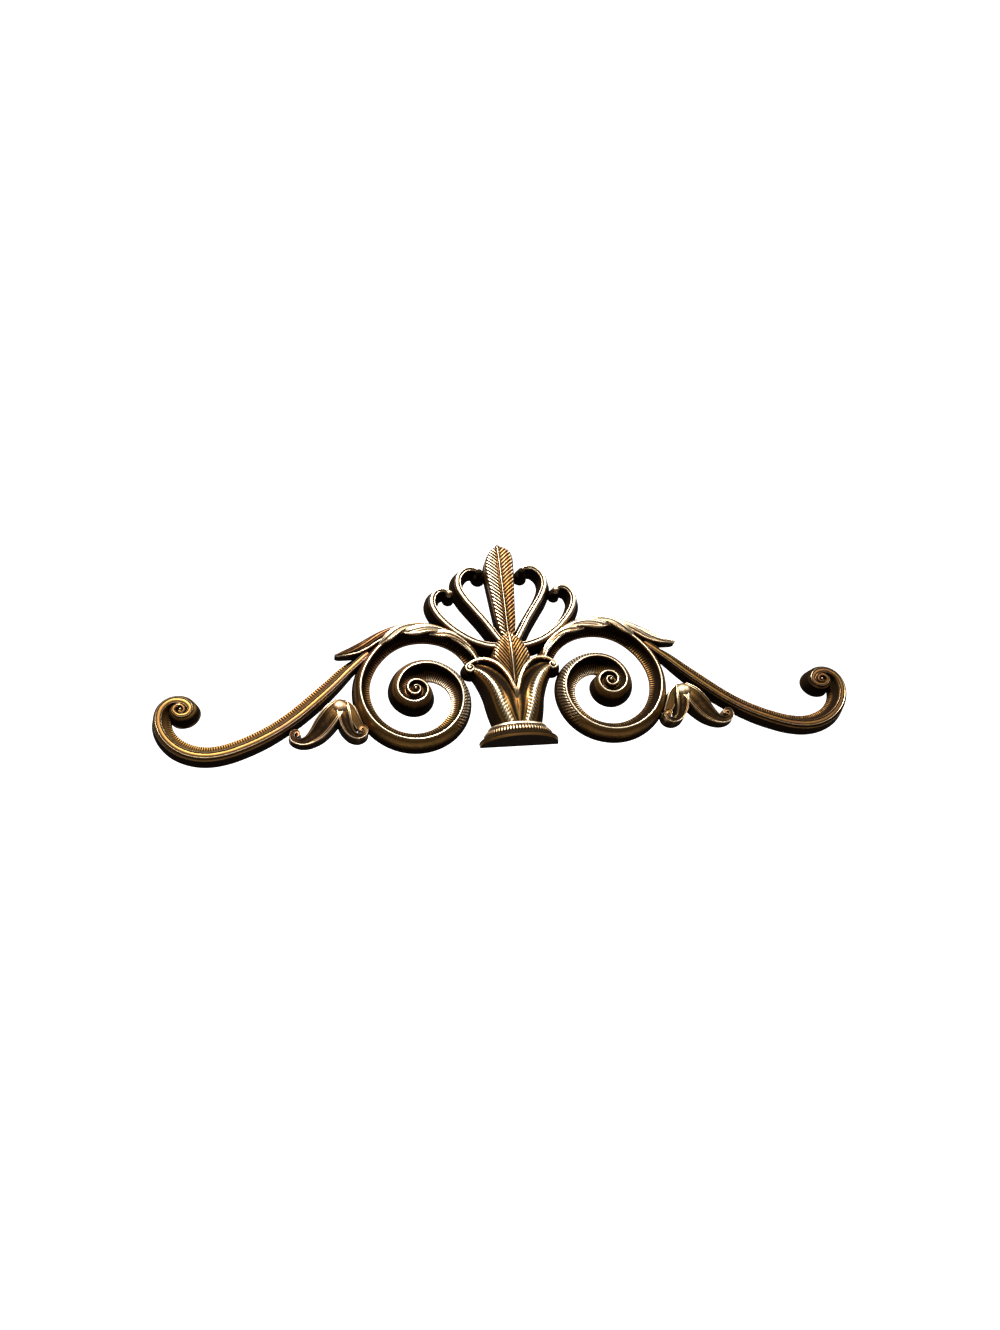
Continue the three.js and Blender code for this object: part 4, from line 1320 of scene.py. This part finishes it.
# The feather's left half is painted lit and its right half in shade.
FEATHER = UprightLeaf(
    rows=(
        (92, 4, 4, 15), (104, 7, 7, 15.5), (116, 9.2, 8.8, 16), (130, 10.6, 9.8, 16.3), (144, 11.8, 11, 16.5),
        (158, 13, 12.4, 16.5), (170, 13.3, 13.2, 16.5), (180, 11, 13.4, 16.3), (187, 6.6, 10.8, 16),
        (190.6, 2.6, 3.4, 15.7), (192, 0.5, 0.5, 15.5),
    ),
    edge_drop=3.6, barb_pitch=3.7, barb_depth=0.5, barb_slant=0.85, right_barbs=0.7, barb_width=1.2,
    painted_light=(0.85, -0.1), channel=0.1, rib=0.8, dip=0.4, dusk=0.35,
)
CALYX = UprightLeaf(
    rows=(
        (42, 1, 1, 15), (52, 4, 4, 17.5), (62, 9, 9, 19), (70, 14.4, 14.4, 20.2), (78, 17, 17, 20.8),
        (86, 15, 15, 20.8), (94, 10.6, 10.6, 20), (99.6, 4.6, 4.6, 18.6), (102, 0.5, 0.5, 17.6),
    ),
    edge_drop=7.0, barb_pitch=4.2, barb_depth=0.24, barb_slant=1.4, right_barbs=1.0, barb_width=1.0,
    painted_light=(0.0, 0.0), channel=-0.2, rib=1.1, dip=0.3, lit=0.8,
)


def both(*shells: Shell) -> Shell:
    """Give right-hand shells together with their mirror images."""
    return joined([*shells, *[shell.mirrored() for shell in shells]])


@dataclass(frozen=True)
class Studio:
    """Pale floor and backdrop, soft lights and the camera.

    Attributes:
        target: Point that the camera looks at, in metres.
        distance: Camera distance in metres.
        azimuth: Camera's turn to the left of square on, in degrees.
        rise: How far below the target's level it stands, in degrees.
        roll: Its roll in degrees.
        lens: Focal length in millimetres.
        floor: Corners of the floor, in metres.
        backdrop: Corners of the backdrop.
        key: Place and size in metres, power in watts and warmth of the main light.
        fill: The same for the second light.
        air: Strength of the light from all round.
    """

    target: tuple[float, float, float] = (-0.00796, 0.0, 0.0218)
    distance: float = 1.0829
    azimuth: float = 11.03
    rise: float = 24.83
    roll: float = -7.167
    lens: float = 33.155
    floor: tuple = ((-3, -0.3, -2), (3, -0.3, -2), (3, 2.6, -2), (-3, 2.6, -2))
    backdrop: tuple = ((-2.6, 2.6, -1.1), (4.2, 2.6, -1.1), (4.2, 2.6, 4.9), (-2.6, 2.6, 4.9))
    key: tuple = ((-0.3, -1.45, 1.4), (0.9, 0.6), 104.0, 0.04)
    fill: tuple = ((1.2, -1.2, 1.2), (0.6, 0.6), 18.0, 0.06)
    air: float = 0.05

    def camera(self) -> None:
        """Make the camera at the photograph's place, from its two turns about the target and its roll."""
        az, el, roll = np.radians([self.azimuth, self.rise, self.roll])
        back = Vector((-np.sin(az) * np.cos(el), -np.cos(az) * np.cos(el), -np.sin(el)))
        right = (-back).cross(Vector((0, 0, 1))).normalized()
        up = right.cross(-back)
        right_rolled = np.cos(roll) * right + np.sin(roll) * up
        up_rolled = np.cos(roll) * up - np.sin(roll) * right
        data = bpy.data.cameras.new("camera")
        data.lens = self.lens
        data.sensor_width = 36.0
        data.clip_end = 50.0
        camera = placed("camera", data)
        turn = Matrix((right_rolled, up_rolled, back)).transposed().to_4x4()
        camera.matrix_world = Matrix.Translation(Vector(self.target) + back * self.distance) @ turn
        bpy.context.scene.camera = camera

    def panel(self, name: str, corners: tuple, colour: float, glow: float) -> None:
        """Make a flat panel.

        Args:
            name: Its name.
            corners: Its corners.
            colour: Its grey.
            glow: Light that it gives off.
        """
        mesh = bpy.data.meshes.new(name)
        mesh.from_pydata(corners, [], [tuple(range(len(corners)))])
        material = bpy.data.materials.new(name)
        material.use_nodes = True
        shader = material.node_tree.nodes["Principled BSDF"]
        shader.inputs["Base Color"].default_value = (colour, colour, colour, 1)
        shader.inputs["Roughness"].default_value = 0.9
        shader.inputs["Emission Color"].default_value = (1, 1, 1, 1)
        shader.inputs["Emission Strength"].default_value = glow
        mesh.materials.append(material)
        panel = placed(name, mesh)

    def light(self, name: str, place: tuple, size: tuple[float, float], power: float, warmth: float) -> None:
        """Hang a soft area light that faces the ornament.

        Args:
            name: Its name.
            place: Its place in metres.
            size: Its width and height.
            power: Its power in watts.
            warmth: How far its blue is taken down.
        """
        data = bpy.data.lights.new(name, "AREA")
        data.shape = "RECTANGLE"
        data.size, data.size_y = size
        data.energy = power
        data.color = (1.0, 1.0 - 0.4 * warmth, 1.0 - warmth)
        lamp = placed(name, data)
        lamp.location = place
        lamp.rotation_euler = (-Vector(place)).to_track_quat("-Z", "Y").to_euler()

    def build(self) -> None:
        """Make the floor, the backdrop, the lights, the world and the camera."""
        self.panel("floor", self.floor, 0.75, 0.0)
        self.panel("backdrop", self.backdrop, 0.9, 1.0)
        self.light("key", *self.key)
        self.light("fill", *self.fill)
        world = bpy.data.worlds.new("world")
        world.use_nodes = True
        air = world.node_tree.nodes["Background"].inputs
        air["Color"].default_value = (1, 1, 1, 1)
        air["Strength"].default_value = self.air
        bpy.context.scene.world = world
        bpy.context.scene.view_settings.view_transform = "Standard"
        self.camera()


def main() -> None:
    """Build the studio and the ornament, in pieces that keep their relief."""
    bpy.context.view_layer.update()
    Studio().build()
    bronze = AntiqueBronze().build()
    scroll = LargeScroll()
    right, tail = scroll.build(), Tail().build()
    # The left leaf's body is painted in shade, darker than the right leaf's.
    left_leaf = Leaf(scroll, body_painted_light=-0.6)
    pieces = {
        "right_scroll": right,
        "left_scroll": right.mirrored(),
        # The right tail is painted darker than the left, as shade.
        "tails": joined([tail.toned(-0.3), tail.mirrored()]),
        "leaves": joined([Leaf(scroll).build(), left_leaf.build().mirrored()]),
        "crest": joined([both(TALL_LOOP.build(), LOW_LOOP.build()), FEATHER.build()]),
        "urn": joined([both(Petal().build()), CALYX.build(), Foot().build()]),
        "buds": both(Bud().build()),
    }
    for name, shell in pieces.items():
        make_piece(name, shell, bronze)


if __name__ == "__main__":
    main()
